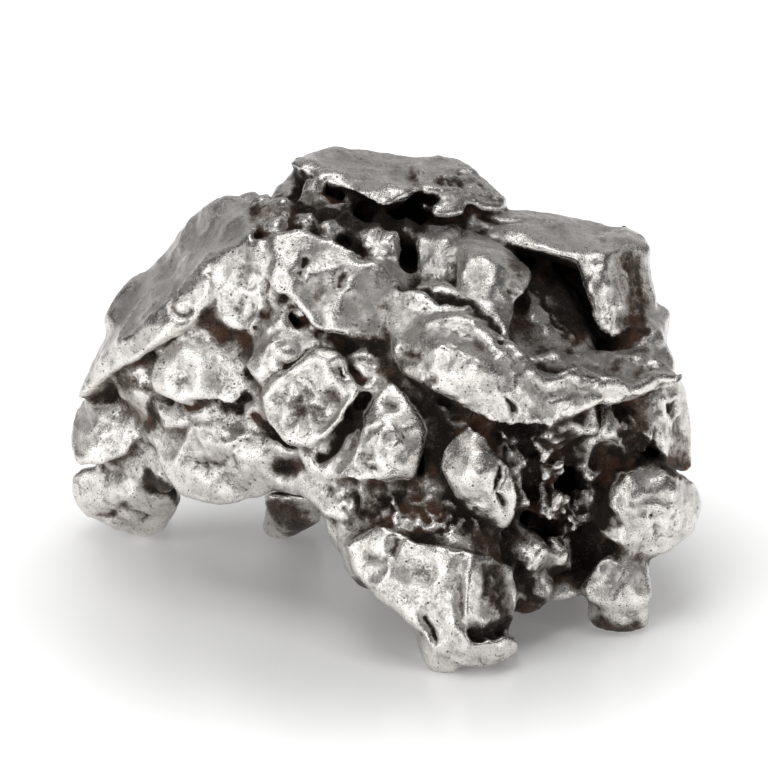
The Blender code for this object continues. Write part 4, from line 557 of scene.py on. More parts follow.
# Marks worked into the front of the skin, as lines of (across, down) with a reach and a height in
# millimetres. A height below nothing is a crease or a hollow, and one above it a ridge or a rim.
MARKS = [
    # The dish and its rim.
    ([(30.4, 40.4)], 4.4, -0.8),
    ([(32.8, 39.4)], 1.5, -0.48),
    ([(29.2, 41.8)], 1.3, -0.36),
    ([(26.6, 39.4), (28.2, 37.8), (31.0, 36.2), (33.6, 36.2)], 0.8, 0.4),
    ([(34.0, 36.6), (34.8, 37.6)], 0.6, -0.9),
    ([(35.6, 39.0), (34.6, 41.2), (32.6, 43.4)], 0.8, 0.35),
    # The broad face at the upper middle.
    ([(32.5, 29.0)], 2.2, -0.42),
    ([(36.5, 30.0)], 2.6, -0.36),
    ([(32.0, 32.2)], 1.8, -0.3),
    ([(30.8, 25.6), (29.8, 27.4)], 0.7, -0.8),
    ([(34.1, 27.4), (33.6, 28.4)], 0.7, -0.6),
    ([(36.4, 25.8)], 1.5, -0.48),
    ([(28.4, 30.2), (29.7, 31.5), (30.8, 33.3), (33.5, 33.8), (35.2, 34.8)], 0.9, -1.0),
    ([(36.0, 25.0), (37.2, 24.6), (39.8, 25.8)], 0.6, 0.4),
    # The left part of the shoulder.
    ([(26.5, 24.2), (26.8, 26.5), (26.8, 31.0), (25.0, 32.2), (24.0, 34.4)], 0.6, -0.4),
    ([(24.2, 27.4)], 2.0, -0.3),
    ([(23.4, 31.2)], 1.6, -0.24),
    ([(17.2, 29.6), (17.0, 30.3), (17.8, 31.4), (18.8, 31.2)], 0.4, -0.5),
    # The lumps at the left.
    ([(27.2, 33.4)], 1.5, -0.3),
    ([(18.4, 37.2)], 2.2, -0.36),
    ([(22.0, 38.4)], 1.8, -0.3),
    ([(10.4, 42.4)], 2.8, -0.36),
    ([(8.4, 44.6)], 1.6, -0.18),
    ([(11.4, 50.0)], 2.6, -0.24),
    ([(15.0, 48.8)], 1.6, -0.48),
    ([(9.6, 52.0), (12.4, 51.2), (14.6, 52.0)], 0.4, -0.35),
    ([(21.8, 47.0)], 2.6, -0.9),
    ([(17.4, 46.0), (18.6, 43.6), (19.8, 42.4)], 0.6, 0.4),
    ([(20.2, 42.4), (22.0, 43.6), (24.4, 44.4)], 0.6, 0.3),
    ([(19.0, 45.4), (20.4, 46.6)], 0.4, -0.4),
    ([(23.2, 45.6), (23.8, 47.6)], 0.5, -0.4),
    ([(19.9, 42.6), (21.2, 44.6), (24.4, 44.0)], 0.7, 0.35),
    ([(18.4, 40.6), (21.4, 40.2), (23.6, 41.6), (24.8, 39.6)], 0.5, -0.7),
    ([(25.4, 41.8), (27.0, 43.4), (29.2, 44.6)], 0.5, -0.6),
    ([(26.2, 43.6)], 1.4, -0.3),
    ([(28.4, 46.6)], 2.0, -0.96),
    # The three-cornered lump.
    ([(36.6, 43.2), (38.2, 42.7)], 0.5, -0.4),
    ([(40.2, 43.0), (40.8, 44.2), (40.2, 45.4)], 0.5, -0.5),
    ([(39.4, 43.8), (38.6, 44.6), (38.8, 45.8)], 0.5, -0.4),
    ([(36.8, 45.8)], 2.2, -0.42),
    ([(36.4, 46.6), (37.6, 47.2)], 0.5, -0.5),
    ([(39.6, 46.0)], 1.4, -0.3),
    ([(38.8, 40.4)], 1.2, -0.3),
    ([(33.6, 49.0)], 1.4, -0.3),
    ([(36.6, 39.6), (35.4, 42.2), (33.6, 44.4), (32.2, 45.8)], 0.7, -1.0),
    # The bulge.
    ([(45.0, 35.2)], 2.6, -0.36),
    ([(42.6, 35.6)], 1.4, -0.24),
    ([(48.6, 34.6)], 1.8, -0.24),
    ([(49.6, 39.2)], 2.2, -0.3),
    ([(50.6, 40.0), (51.2, 41.4)], 0.6, -0.8),
    ([(40.4, 35.2), (42.0, 36.2), (43.2, 38.0)], 0.7, -0.5),
    ([(47.6, 32.6), (50.6, 35.6), (51.6, 38.4)], 0.9, 0.3),
    # The almond.
    ([(49.9, 46.6), (50.2, 48.6), (50.3, 50.8)], 0.45, -0.9),
    ([(46.6, 46.4)], 1.8, -0.24),
    ([(48.6, 49.2)], 1.4, -0.21),
    # The ledge.
    ([(52.2, 36.0), (53.0, 37.2), (54.5, 38.3), (57.5, 37.2), (60.0, 38.1), (62.5, 38.8), (66.0, 37.8),
      (67.6, 37.8)], 0.9, 0.7),
    ([(53.8, 36.2), (55.2, 36.9), (57.6, 35.8), (60.2, 36.6), (62.6, 37.3), (65.4, 36.4)], 1.0, -0.3),
    ([(55.4, 39.4), (58.0, 38.8), (61.0, 39.6)], 0.7, -0.3),
    ([(54.0, 40.6)], 1.8, -0.3),
    ([(58.0, 39.8)], 1.6, -0.24),
    ([(61.4, 37.0)], 1.6, -0.24),
    # The blocks at the upper right.
    ([(51.3, 29.0)], 1.2, -0.6),
    ([(47.8, 27.6)], 1.8, -0.3),
    ([(42.8, 26.0)], 1.5, -0.18),
    ([(45.6, 25.4), (45.4, 28.2)], 0.8, -0.15),
    ([(40.2, 28.5), (42.5, 29.0), (46.0, 30.5), (48.0, 31.5), (50.2, 33.5)], 0.45, -0.7),
    ([(59.2, 28.5), (59.6, 31.0), (60.2, 33.6)], 0.6, 0.5),
    ([(61.4, 26.4), (61.6, 31.0)], 0.35, -0.12),
    ([(63.0, 26.0), (63.2, 31.0)], 0.35, -0.15),
    ([(64.2, 27.0), (64.8, 30.6)], 0.3, -0.12),
    ([(59.4, 26.8)], 1.0, -0.3),
    ([(47.8, 21.6), (50.2, 22.6), (54.0, 22.4)], 0.4, -0.35),
    ([(56.0, 23.6)], 2.4, -0.21),
    ([(60.4, 23.4)], 1.4, -0.24),
    # The top slab.
    ([(36.4, 17.0)], 2.4, -0.18),
    ([(41.0, 16.6), (42.0, 18.2), (41.6, 19.6)], 0.5, -0.25),
    ([(44.0, 17.6), (46.0, 18.4), (48.4, 18.6)], 0.4, -0.35),
    ([(46.0, 17.2), (48.4, 17.6)], 0.35, -0.3),
    # The right end.
    ([(67.1, 40.8)], 0.9, -0.96),
    ([(66.2, 39.8), (67.9, 39.8), (68.2, 41.6), (66.8, 42.2), (66.2, 41.2), (66.2, 39.8)], 0.5, 0.4),
    ([(61.4, 52.6)], 2.4, -0.3),
    ([(61.2, 47.4), (65.0, 47.0), (69.0, 48.4)], 0.5, 0.3),
    ([(60.6, 50.4), (61.6, 52.4)], 0.5, -0.4),
    ([(64.8, 50.6), (65.6, 53.0)], 0.5, -0.35),
    ([(64.6, 48.2)], 1.2, -0.3),
    ([(61.4, 58.4)], 1.8, -0.24),
    ([(59.8, 56.4), (61.0, 55.8), (62.4, 56.6)], 0.5, 0.3),
    # The front foot.
    ([(46.2, 56.0), (45.5, 58.0), (45.6, 60.0), (46.4, 61.8), (47.6, 63.4)], 0.9, -0.55),
    ([(48.6, 56.0), (48.4, 60.0), (49.4, 63.0)], 0.7, -0.25),
    ([(39.6, 53.6), (39.2, 55.4)], 0.7, -0.8),
    ([(37.2, 56.2)], 2.4, -0.36),
    ([(42.8, 57.8)], 2.6, -0.3),
    ([(42.2, 61.8), (43.4, 64.2)], 0.5, -0.8),
    ([(47.6, 63.3), (49.4, 63.0), (51.4, 62.4)], 0.7, -0.7),
    ([(41.8, 63.4)], 1.2, -0.18),
]


# Where the skin is broken and flaky, in the same way: reach and the height of the flakes.
FLAKY = [
    ([(30.4, 41.0), (31.6, 40.4)], 3.2, 0.45),
    ([(44.8, 35.0), (45.8, 36.4)], 2.4, 0.5),
    ([(36.4, 34.4), (37.6, 36.6)], 2.4, 0.6),
    ([(36.6, 45.4), (40.4, 43.8)], 2.2, 0.6),
    ([(33.2, 49.2), (34.6, 50.6)], 1.6, 0.5),
    ([(27.6, 32.6), (28.0, 35.4)], 2.4, 0.6),
    ([(28.0, 21.0), (34.0, 21.4)], 3.4, 0.4),
    ([(61.0, 51.0), (67.0, 51.4)], 3.4, 0.4),
    ([(60.2, 57.6), (63.4, 58.6)], 2.2, 0.2),
    ([(49.0, 58.0), (50.0, 62.0)], 2.0, 0.5),
    ([(53.0, 57.4), (53.2, 60.4)], 2.6, 0.5),
    ([(54.0, 45.0), (57.0, 52.0)], 5.0, 1.1),
    ([(37.0, 50.0), (47.0, 52.0)], 3.0, 1.0),
    ([(44.0, 40.6), (47.0, 42.4), (51.0, 43.6)], 1.8, 0.9),
    ([(62.0, 42.0), (64.0, 45.4)], 2.4, 0.8),
    ([(54.0, 28.0), (57.0, 34.0)], 3.4, 0.4),
    ([(21.0, 47.0), (23.4, 46.0)], 2.6, 0.4),
    ([(46.0, 18.0), (49.6, 19.4)], 2.6, 0.4),
    ([(60.4, 28.0), (60.6, 33.0)], 1.2, 0.4),
    ([(63.6, 27.0), (63.8, 31.4)], 2.2, 0.2),
    ([(23.6, 32.0), (25.4, 27.0)], 1.8, 0.4),
    ([(42.8, 27.0)], 1.8, 0.3),
    ([(37.0, 55.4), (38.0, 57.0)], 2.0, 0.4),
    ([(10.0, 43.0), (11.6, 50.0)], 2.6, 0.25),
]

# Where the metal is darkened, mostly as painted shade and partly as old rust, and how far: lines of
# (across, down), reach and strength. A strength below nothing paints the metal lighter, as painted light.
PATINA_AND_SHADE = [
    ([(63.0, 25.6), (63.8, 29.0), (63.6, 32.0)], 2.6, 0.9),
    ([(52.0, 26.4), (56.0, 28.5), (58.0, 32.5)], 3.6, 1.0),
    ([(52.6, 32.6), (55.0, 34.6)], 2.0, 0.6),
    ([(54.0, 36.4), (56.2, 36.8)], 1.0, 0.3),
    ([(60.6, 34.6), (64.4, 33.2)], 1.0, 1.0),
    ([(58.6, 37.2), (62.0, 36.2), (65.0, 35.2)], 1.0, 0.35),
    ([(48.8, 57.0), (50.2, 61.0)], 1.9, 1.0),
    ([(52.6, 57.4), (53.2, 60.6)], 2.4, 1.0),
    ([(56.0, 57.0), (57.4, 58.0)], 1.6, 0.8),
    ([(59.4, 61.9), (61.6, 63.2), (63.4, 62.4)], 1.8, 0.85),
    ([(48.2, 62.8), (51.2, 62.2)], 1.1, 1.3),
    ([(57.0, 43.4), (57.4, 52.0)], 5.0, 0.7),
    ([(52.6, 44.0), (53.0, 54.0)], 2.6, 0.6),
    ([(61.0, 46.0), (60.0, 52.0), (58.4, 54.6)], 1.6, 0.8),
    ([(63.0, 42.0), (64.4, 44.0)], 2.4, 1.0),
    ([(60.0, 45.4), (64.6, 45.8), (68.4, 46.8)], 1.2, 1.0),
    ([(52.2, 30.2)], 1.4, 0.8),
    ([(36.6, 50.6), (41.0, 50.0), (46.4, 51.6), (49.6, 54.2)], 3.2, 0.9),
    ([(42.4, 38.6), (44.0, 42.4), (43.4, 47.0)], 1.6, 1.1),
    ([(45.0, 41.2), (48.0, 42.0)], 1.2, 1.0),
    ([(36.6, 39.8), (35.4, 42.2), (33.4, 44.6)], 0.8, 1.0),
    ([(32.0, 45.6), (30.4, 45.2)], 0.9, 0.7),
    ([(35.0, 34.2), (37.4, 34.8), (39.0, 37.2)], 1.8, 1.1),
    ([(29.8, 40.2), (31.4, 40.6)], 2.2, 0.5),
    ([(27.6, 50.6), (29.8, 52.4)], 3.0, 0.8),
    ([(26.0, 21.4), (31.0, 20.6), (36.0, 22.4)], 2.6, 0.8),
    ([(36.0, 21.6), (41.0, 22.6)], 2.6, 1.1),
    ([(41.8, 18.2), (46.0, 18.4), (49.6, 19.4)], 1.6, 0.6),
    ([(12.0, 38.2), (14.4, 38.6)], 1.4, 0.9),
    ([(20.4, 31.8), (23.4, 33.6)], 1.4, 0.9),
    ([(24.4, 35.0), (25.4, 37.6)], 0.9, 0.6),
    ([(15.6, 42.0), (17.8, 41.6)], 1.2, 0.6),
    ([(18.4, 40.6), (21.4, 40.2), (23.6, 41.6), (24.8, 39.6)], 0.6, 0.9),
    ([(25.4, 41.8), (27.0, 43.4), (29.2, 44.6)], 0.6, 0.7),
    ([(20.0, 31.6), (22.0, 34.0)], 0.9, 0.5),
    ([(67.4, 43.0), (68.8, 46.0)], 1.6, 0.6),
    ([(14.6, 47.4), (16.4, 48.4), (17.6, 50.0)], 1.0, 1.1),
    ([(62.0, 46.6), (66.0, 46.4), (68.6, 47.6)], 1.2, 1.0),
    ([(60.0, 49.0), (59.8, 52.0)], 1.0, 0.8),
    ([(42.8, 26.2)], 2.2, -0.5),
    ([(47.5, 27.4), (50.5, 28.6)], 2.4, -0.5),
    ([(15.0, 40.0), (15.0, 43.0)], 0.7, 0.8),
    ([(17.0, 37.6), (18.6, 38.6)], 1.5, 0.3),
    ([(28.0, 46.6), (29.6, 46.8)], 1.6, 0.9),
    ([(15.2, 48.8), (17.0, 49.6)], 1.2, 0.9),
    ([(35.6, 58.0), (37.6, 59.0)], 1.4, 0.7),
    ([(50.0, 34.2), (51.2, 35.2)], 0.7, 0.6),
    ([(41.0, 28.8), (46.0, 30.2)], 0.5, 0.5),
]


def distance_to_line(places, line):
    """How far each place lies from a line of straight stretches, or from a single point."""
    ends = np.array(line, float)
    if len(ends) == 1:
        return np.hypot(*(places - ends[0]).T)
    nearest = np.full(len(places), np.inf)
    for start, end in zip(ends[:-1], ends[1:]):
        along = end - start
        share = np.clip((places - start) @ along / (along @ along), 0.0, 1.0)
        nearest = np.minimum(nearest, np.hypot(*(places - start - share[:, None] * along).T))
    return nearest


def evaluated(holder):
    """A new mesh of the object as its modifiers leave it."""
    graph = bpy.context.evaluated_depsgraph_get()
    graph.update()
    return bpy.data.meshes.new_from_object(holder.evaluated_get(graph))


def with_modifiers(mesh, *modifiers):
    """The mesh that a stack of modifiers leaves, each given as its type and its settings."""
    holder = bpy.data.objects.new("holder", mesh)
    bpy.context.scene.collection.objects.link(holder)
    for kind, settings in modifiers:
        modifier = holder.modifiers.new(kind.lower(), kind)
        for name, value in settings.items():
            setattr(modifier, name, value)
    changed = evaluated(holder)
    bpy.data.objects.remove(holder)
    return changed


def smoothing(passes):
    """A Smooth modifier that draws each vertex half way to its neighbours, this many times."""
    return "SMOOTH", {"factor": 0.5, "iterations": passes}


def grown_together(grain):
    """All the blocks as one even skin, without the pockets that are sealed inside."""
    stone = bmesh.new()
    for add in (add_core, add_top_slab, add_left_flank, add_shoulder, add_left_lumps,
                add_dish_and_blade, add_bulge, add_ledge, add_right_top, add_right_flank,
                add_hollow_walls, add_front_foot, add_seams, add_gap_fills,
                add_small_crystals, add_hidden_sides):
        add(stone)
    mesh = bpy.data.meshes.new("blocks")
    stone.to_mesh(mesh)
    stone.free()
    skin = with_modifiers(mesh, ("REMESH", {"mode": "VOXEL", "voxel_size": grain}),
                          smoothing(PASSES_ON_BLOCKS))
    stone = bmesh.new()
    stone.from_mesh(skin)
    keep_outer_shell(stone)
    stone.to_mesh(skin)
    stone.free()
    return skin


def keep_outer_shell(stone):
    """Deletes every closed shell but the largest."""
    left = set(stone.verts)
    shells = []
    while left:
        shell = [left.pop()]
        for vert in shell:
            for edge in vert.link_edges:
                other = edge.other_vert(vert)
                if other in left:
                    left.remove(other)
                    shell.append(other)
        shells.append(shell)
    shells.sort(key=len)
    for shell in shells[:-1]:
        bmesh.ops.delete(stone, geom=shell, context="VERTS")


def points_and_normals(mesh):
    """The mesh's vertices and their normals, as two arrays."""
    points = np.empty(len(mesh.vertices) * 3)
    normals = np.empty(len(mesh.vertices) * 3)
    mesh.vertices.foreach_get("co", points)
    mesh.vertex_normals.foreach_get("vector", normals)
    return points.reshape(-1, 3), normals.reshape(-1, 3)


def surface_tree(mesh):
    """A tree of the mesh's faces for ray casts."""
    faces = [tuple(face.vertices) for face in mesh.polygons]
    return BVHTree.FromPolygons([vert.co for vert in mesh.vertices], faces)


def seen_from_front(mesh, points, normals):
    """Which vertices face the eye with nothing in front of them."""
    tree = surface_tree(mesh)
    facing = normals @ np.array(TOWARDS_EYE) > LEAST_LEAN
    for index in np.flatnonzero(facing):
        start = Vector(points[index]) + SIGHT_START * Vector(normals[index])
        if tree.ray_cast(start, TOWARDS_EYE)[0] is not None:
            facing[index] = False
    return facing


def wandering_places(points):
    """Where each vertex is seen, with the wander that keeps a mark's edge from being even."""
    rise = points[:, 1] * math.sin(VIEW_TIP) + (points[:, 2] - FRAME_HEIGHT) * math.cos(VIEW_TIP)
    places = np.column_stack([points[:, 0] + FRAME_MIDDLE_ACROSS, FRAME_MIDDLE_DOWN - rise])
    for index, point in enumerate(points):
        place = Vector(point)
        wander = 0.7 * noise.noise_vector(place * 0.4) + 0.3 * noise.noise_vector(place * 1.3)
        places[index] += wander[0], wander[2]
    return places


def from_marks(marks, points, visible):
    """The sum of the marks at each vertex that is seen from the front."""
    places = wandering_places(points[visible])
    total = np.zeros(len(places))
    for line, reach, most in marks:
        share = np.clip(distance_to_line(places, line) / reach, 0.0, 1.0)
        total += most * (1.0 - share * share) ** 2
    result = np.zeros(len(points))
    result[visible] = total
    return result


def burnished_relief(points):
    """Shallow bowls with crisp ridges between them, finer dents in those, and a fine grain."""
    # A factor on a place is one over the size of the noise there, and the numbers in the sum are
    # heights in millimetres.
    height = np.empty(len(points))
    for index, point in enumerate(points):
        place = Vector(point)
        bent = place + 1.4 * noise.noise_vector(place * 0.22)
        bowls = noise.voronoi(bent / BOWL_SIZE)[0][0]
        dents = noise.voronoi((place + 0.5 * noise.noise_vector(place * 0.7)) / DENT_SIZE)[0][0]
        swell = noise.noise(place * 0.16 + SWELL_START)
        grain = noise.fractal(place * 1.1, 0.7, 2.1, 3)
        height[index] = 0.7 * bowls * bowls + 0.10 * dents * dents + 0.7 * swell + 0.09 * grain - 0.30
    return height


def flakes(points):
    """Torn ridges and pits, for the places where the skin is broken."""
    height = np.empty(len(points))
    for index, point in enumerate(points):
        place = Vector(point)
        bent = place + 0.8 * noise.noise_vector(place * 0.6)
        ridge = abs(noise.noise(bent * 0.6)) + 0.5 * abs(noise.noise(bent * 1.4))
        height[index] = 0.55 - 1.9 * min(ridge, 0.6)
    return -height


def neighbour_mean(values, edges, count):
    """Each vertex's mean over its neighbours, for the three columns of its place."""
    total = np.zeros_like(values)
    for start, end in (edges, edges[::-1]):
        for axis in range(values.shape[1]):
            total[:, axis] += np.bincount(start, values[end, axis], len(values))
    return total / count[:, None]


def bend_of_surface(mesh, points, normals, passes):
    """How far each vertex stands out of the surface round it, in millimetres."""
    ends = np.empty(len(mesh.edges) * 2, int)
    mesh.edges.foreach_get("vertices", ends)
    edges = ends.reshape(-1, 2).T
    count = np.maximum(np.bincount(ends, minlength=len(points)), 1)
    smooth = points.copy()
    for _ in range(passes):
        smooth = neighbour_mean(smooth, edges, count)
    return ((points - smooth) * normals).sum(axis=1)


def ways_to_the_sky():
    """The directions in which each vertex looks for open sky."""
    shuffle = random.Random(SEED)
    ways = []
    while len(ways) < SKY_RAYS:
        way = Vector([shuffle.gauss(0, 1) for _ in range(3)])
        if way.length > SHORTEST_WAY:
            ways.append(way.normalized())
    return ways


def openness(mesh, points, normals):
    """The share of the sky that each vertex sees within SKY_REACH, from 0 shut in to 1 open."""
    tree = surface_tree(mesh)
    ways = ways_to_the_sky()
    result = np.empty(len(points))
    for index, (point, normal) in enumerate(zip(points, normals)):
        normal = Vector(normal)
        start = Vector(point) + SKY_START * normal
        free = 0.0
        weight = 0.0
        for way in ways:
            lean = way.dot(normal)
            ray = way if lean > 0 else -way
            lean = abs(lean)
            gap = tree.ray_cast(start, ray, SKY_REACH)[3]
            free += lean * (1.0 if gap is None else (gap / SKY_REACH) ** 2)
            weight += lean
        result[index] = free / weight
    return result


def store(mesh, name, values):
    """Keeps one number for each vertex under a name that the material reads."""
    layer = mesh.attributes.new(name, "FLOAT", "POINT")
    layer.data.foreach_set("value", np.asarray(values, np.float32))


def worked_over(skin, settings):
    """The skin with its relief, its marks and its broken patches, in as many triangles as it may have."""
    points, normals = points_and_normals(skin)
    visible = seen_from_front(skin, points, normals)
    height = from_marks(MARKS, points, visible) + settings.relief * burnished_relief(points)
    height += from_marks(FLAKY, points, visible) * flakes(points)
    points = points + height[:, None] * normals
    points[:, 2] = np.maximum(points[:, 2], 0.0)
    skin.vertices.foreach_set("co", points.ravel())
    skin.update()
    triangles = 2 * len(skin.polygons)
    fewer_faces = {"ratio": min(1.0, settings.triangles / triangles)}
    return with_modifiers(skin, smoothing(PASSES_ON_RELIEF), ("DECIMATE", fewer_faces))


def store_wear_and_shade(skin, points, normals):
    """Keeps what the finish reads: the patina lines and the undersides, mostly painted shade, what faces
    down, the open sky and what stands out.
    """
    visible = seen_from_front(skin, points, normals)
    # Faces that turn down are darkened with the patina lines, as painted shade.
    underside = 0.8 * np.clip(-normals[:, 2] - 0.1, 0.0, 1.0)
    store(skin, "patina_and_shade", np.minimum(from_marks(PATINA_AND_SHADE, points, visible) + underside, MOST_PATINA_AND_SHADE))
    # What faces down, which the finish makes more satin, as painted shade.
    store(skin, "low", np.clip(0.25 - normals[:, 2], 0.0, 1.0))
    # The open sky, which the finish turns into painted shade in the hollows.
    store(skin, "open", openness(skin, points, normals))
    # What stands out, which the finish paints bright on the rims, partly as painted highlight, and darker
    # where the surface sinks in, as painted shade.
    store(skin, "bend", bend_of_surface(skin, points, normals, PASSES_FOR_RIMS))
    store(skin, "broad_bend", bend_of_surface(skin, points, normals, PASSES_FOR_LUMPS))


def meteorite_mesh(settings):
    """The finished skin in metres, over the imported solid."""
    # Without a seed, the noise that bends the relief would start elsewhere in every run.
    noise.seed_set(SEED)
    skin = worked_over(grown_together(settings.grain / MM), settings)
    points, normals = points_and_normals(skin)
    store_wear_and_shade(skin, points, normals)
    middle = np.array([*FOOTPRINT_MIDDLE, 0.0])
    skin.vertices.foreach_set("co", ((points - middle) * MM).ravel())
    skin.shade_smooth()
    skin.update()
    return skin


class Link:
    """One output of a node, which takes part in plain arithmetic."""

    def __init__(self, shading, socket):
        self.shading = shading
        self.socket = socket

    def math(self, operation, *others, clamp=False):
        """The result of one operation on this output and the others."""
        settings = {"operation": operation, "use_clamp": clamp}
        return self.shading.node("ShaderNodeMath", settings, self, *others)

    def __add__(self, other):
        return self.math("ADD", other)

    def __sub__(self, other):
        return self.math("SUBTRACT", other)

    def __rsub__(self, other):
        return self.shading.node("ShaderNodeMath", {"operation": "SUBTRACT"}, other, self)

    def __mul__(self, other):
        return self.math("MULTIPLY", other)

    __radd__ = __add__
    __rmul__ = __mul__

    def clamped(self):
        """This output, held between 0 and 1."""
        return self.math("ADD", 0.0, clamp=True)

    def ramp(self, low, high):
        """0 at low and under, 1 at high and over, with a smooth way between."""
        settings = {"interpolation_type": "SMOOTHSTEP"}
        ends = {"From Min": low, "From Max": high}
        return self.shading.node("ShaderNodeMapRange", settings, Value=self, **ends)


class Shading:
    """A material's node tree, built one node at a time."""

    def __init__(self, name):
        self.material = bpy.data.materials.new(name)
        self.material.use_nodes = True
        self.tree = self.material.node_tree
        self.tree.nodes.clear()

    def node(self, kind, settings=None, *places, output=0, **named):
        """Adds a node, sets it up, fills its sockets in order or by name, and gives one output."""
        node = self.tree.nodes.new(kind)
        for name, value in (settings or {}).items():
            setattr(node, name, value)
        for key, value in [*enumerate(places), *named.items()]:
            self.fill(node.inputs[key], value)
        return Link(self, node.outputs[output]) if len(node.outputs) else None

    def fill(self, socket, value):
        """Links an output to a socket, or sets the socket to a plain value."""
        if isinstance(value, Link):
            self.tree.links.new(value.socket, socket)
        else:
            socket.default_value = value

    def mix(self, share, first, second):
        """A colour between two colours, from the Mix node's colour sockets."""
        node = self.tree.nodes.new("ShaderNodeMix")
        node.data_type = "RGBA"
        for index, value in ((0, share), (6, first), (7, second)):
            self.fill(node.inputs[index], value)
        return Link(self, node.outputs[2])

    def place(self):
        """The place on the object itself, in metres."""
        return self.node("ShaderNodeTexCoord", {}, output=3)

    def scaled(self, vector, factors):
        """A vector times another, axis by axis."""
        return self.node("ShaderNodeVectorMath", {"operation": "MULTIPLY"}, vector, factors)

    def attribute(self, name):
        """A number that the mesh keeps for each vertex."""
        return self.node("ShaderNodeAttribute", {"attribute_name": name}, output=2)

    def noise(self, place, scale, detail=4.0, roughness=0.5, distortion=0.0):
        """Cloudy noise, with its values around a half."""
        return self.node("ShaderNodeTexNoise", {}, Vector=place, Scale=scale, Detail=detail,
                         Roughness=roughness, Distortion=distortion)

    def cells(self, place, scale, feature="F1"):
        """The distance to the nearest of many scattered points, or to the edge between two."""
        return self.node("ShaderNodeTexVoronoi", {"feature": feature}, Vector=place, Scale=scale)


def iron_patterns(shading, place):
    """The patterns that the finish is mixed from, each around a half, scaled for millimetres."""
    drawn_out = shading.scaled(place, (0.7, 3.2, 2.2))
    return SimpleNamespace(
        cloudy=shading.noise(place, 0.35, 5.0, 0.6),
        blotchy=shading.noise(place, 1.3, 6.0, 0.65),
        fine=shading.noise(place, 4.5, 5.0, 0.65),
        grain=shading.noise(place, 11.0, 3.0, 0.6),
        drawn=shading.noise(drawn_out, 2.4, 4.0, 0.6, 0.6),
    )


def iron_wear_and_shade(shading, place, pattern):
    """Masks from 0 to 1: dirty hollows in painted shade, rims rubbed bright and painted as highlights,
    stained faces with painted shade, painted glints, painted black shade where the metal is shut in, and
    rust.
    """
    open_sky = shading.attribute("open")
    bend = shading.attribute("bend")
    broad = shading.attribute("broad_bend")
    patina_and_shade = shading.attribute("patina_and_shade")
    fine = pattern.fine - 0.5
    blotchy = pattern.blotchy - 0.5
    cloudy = pattern.cloudy - 0.5
    drawn = pattern.drawn - 0.5

    crisp = (1.0 - patina_and_shade * 0.6).clamped()
    # The hollows are dirty and in painted shade: they darken where little sky is open, where the surface
    # sinks in and along the patina lines.
    hollow = (1.0 - open_sky.ramp(0.1, 1.0)) + (bend * -3.0 + broad * -0.35) * crisp + patina_and_shade
    shade_and_dirt = (hollow + fine * 1.0 + blotchy * 0.8).ramp(0.25, 1.3)
    # Rims that stand out are painted bright, partly as rubbed metal and partly as painted highlight.
    rim = ((bend * 9.0 + broad * 0.8 + fine * 0.3) * crisp).clamped()
    # The noise makes real stains; the sunken middles of lumps and the faces that turn down turn more satin
    # as painted shade.
    stain_and_shade = 0.5 + blotchy * 0.5 + cloudy * 0.9 + drawn * 0.5 + broad * -0.5
    stain_and_shade = stain_and_shade + shading.attribute("low") * 0.16
    # The glints are painted highlights: thin bright streaks of satin metal in the dark hollows.
    streaks = (1.0 - drawn.math("ABSOLUTE").ramp(0.005, 0.03)) * pattern.fine.ramp(0.45, 0.6)
    return SimpleNamespace(
        shade_and_dirt=shade_and_dirt,
        rim=rim,
        stain_and_shade=(stain_and_shade.ramp(0.38, 0.72) * (1.0 - rim)).clamped(),
        glints=(streaks * (shade_and_dirt * 1.4 - 0.2) * pattern.cloudy.ramp(0.42, 0.6)).clamped(),
        # Where almost no sky is open, the metal is painted black as shade.
        deep=(1.0 - open_sky).ramp(0.6, 0.97) * 0.8,
        rust=shading.noise(place, 0.22, 4.0, 0.6).ramp(0.50, 0.64) * shade_and_dirt,
    )


def hairline_cracks(shading, place):
    """Fine wandering cracks, in a few broad patches only."""
    wander = shading.node("ShaderNodeTexNoise", {}, Vector=place, Scale=0.8, Detail=4.0, output=1)
    sway = {"operation": "MULTIPLY_ADD"}
    bent = shading.node("ShaderNodeVectorMath", sway, wander, (2.6, 2.6, 2.6), place)
    cracked = shading.noise(place, 0.28, 2.0).ramp(0.58, 0.68)
    return (1.0 - shading.cells(bent, 0.3, "DISTANCE_TO_EDGE").ramp(0.004, 0.03)) * cracked


def small_marks(shading, place, pattern, wear_and_shade):
    """Pits, specks, scratches, crust and cracks, each from 0 to 1."""
    chosen = shading.noise(place, 0.9, 3.0).ramp(0.48, 0.58)
    pits = 1.0 - shading.cells(place, 1.5).ramp(0.08, 0.2)
    specks = 1.0 - shading.cells(place, 4.0).ramp(0.1, 0.24)
    scratches = 1.0 - (pattern.drawn - 0.5).math("ABSOLUTE").ramp(0.0, 0.025)
    crust = pattern.grain + (pattern.fine - 0.5) * 0.8 + (pattern.blotchy - 0.5) * 0.8
    return SimpleNamespace(
        pits=pits * chosen,
        specks=specks * pattern.blotchy.ramp(0.4, 0.56),
        scratches=scratches * chosen,
        crust=crust.ramp(0.56, 0.66) * (1.0 - wear_and_shade.rim).clamped(),
        cracks=hairline_cracks(shading, place),
    )


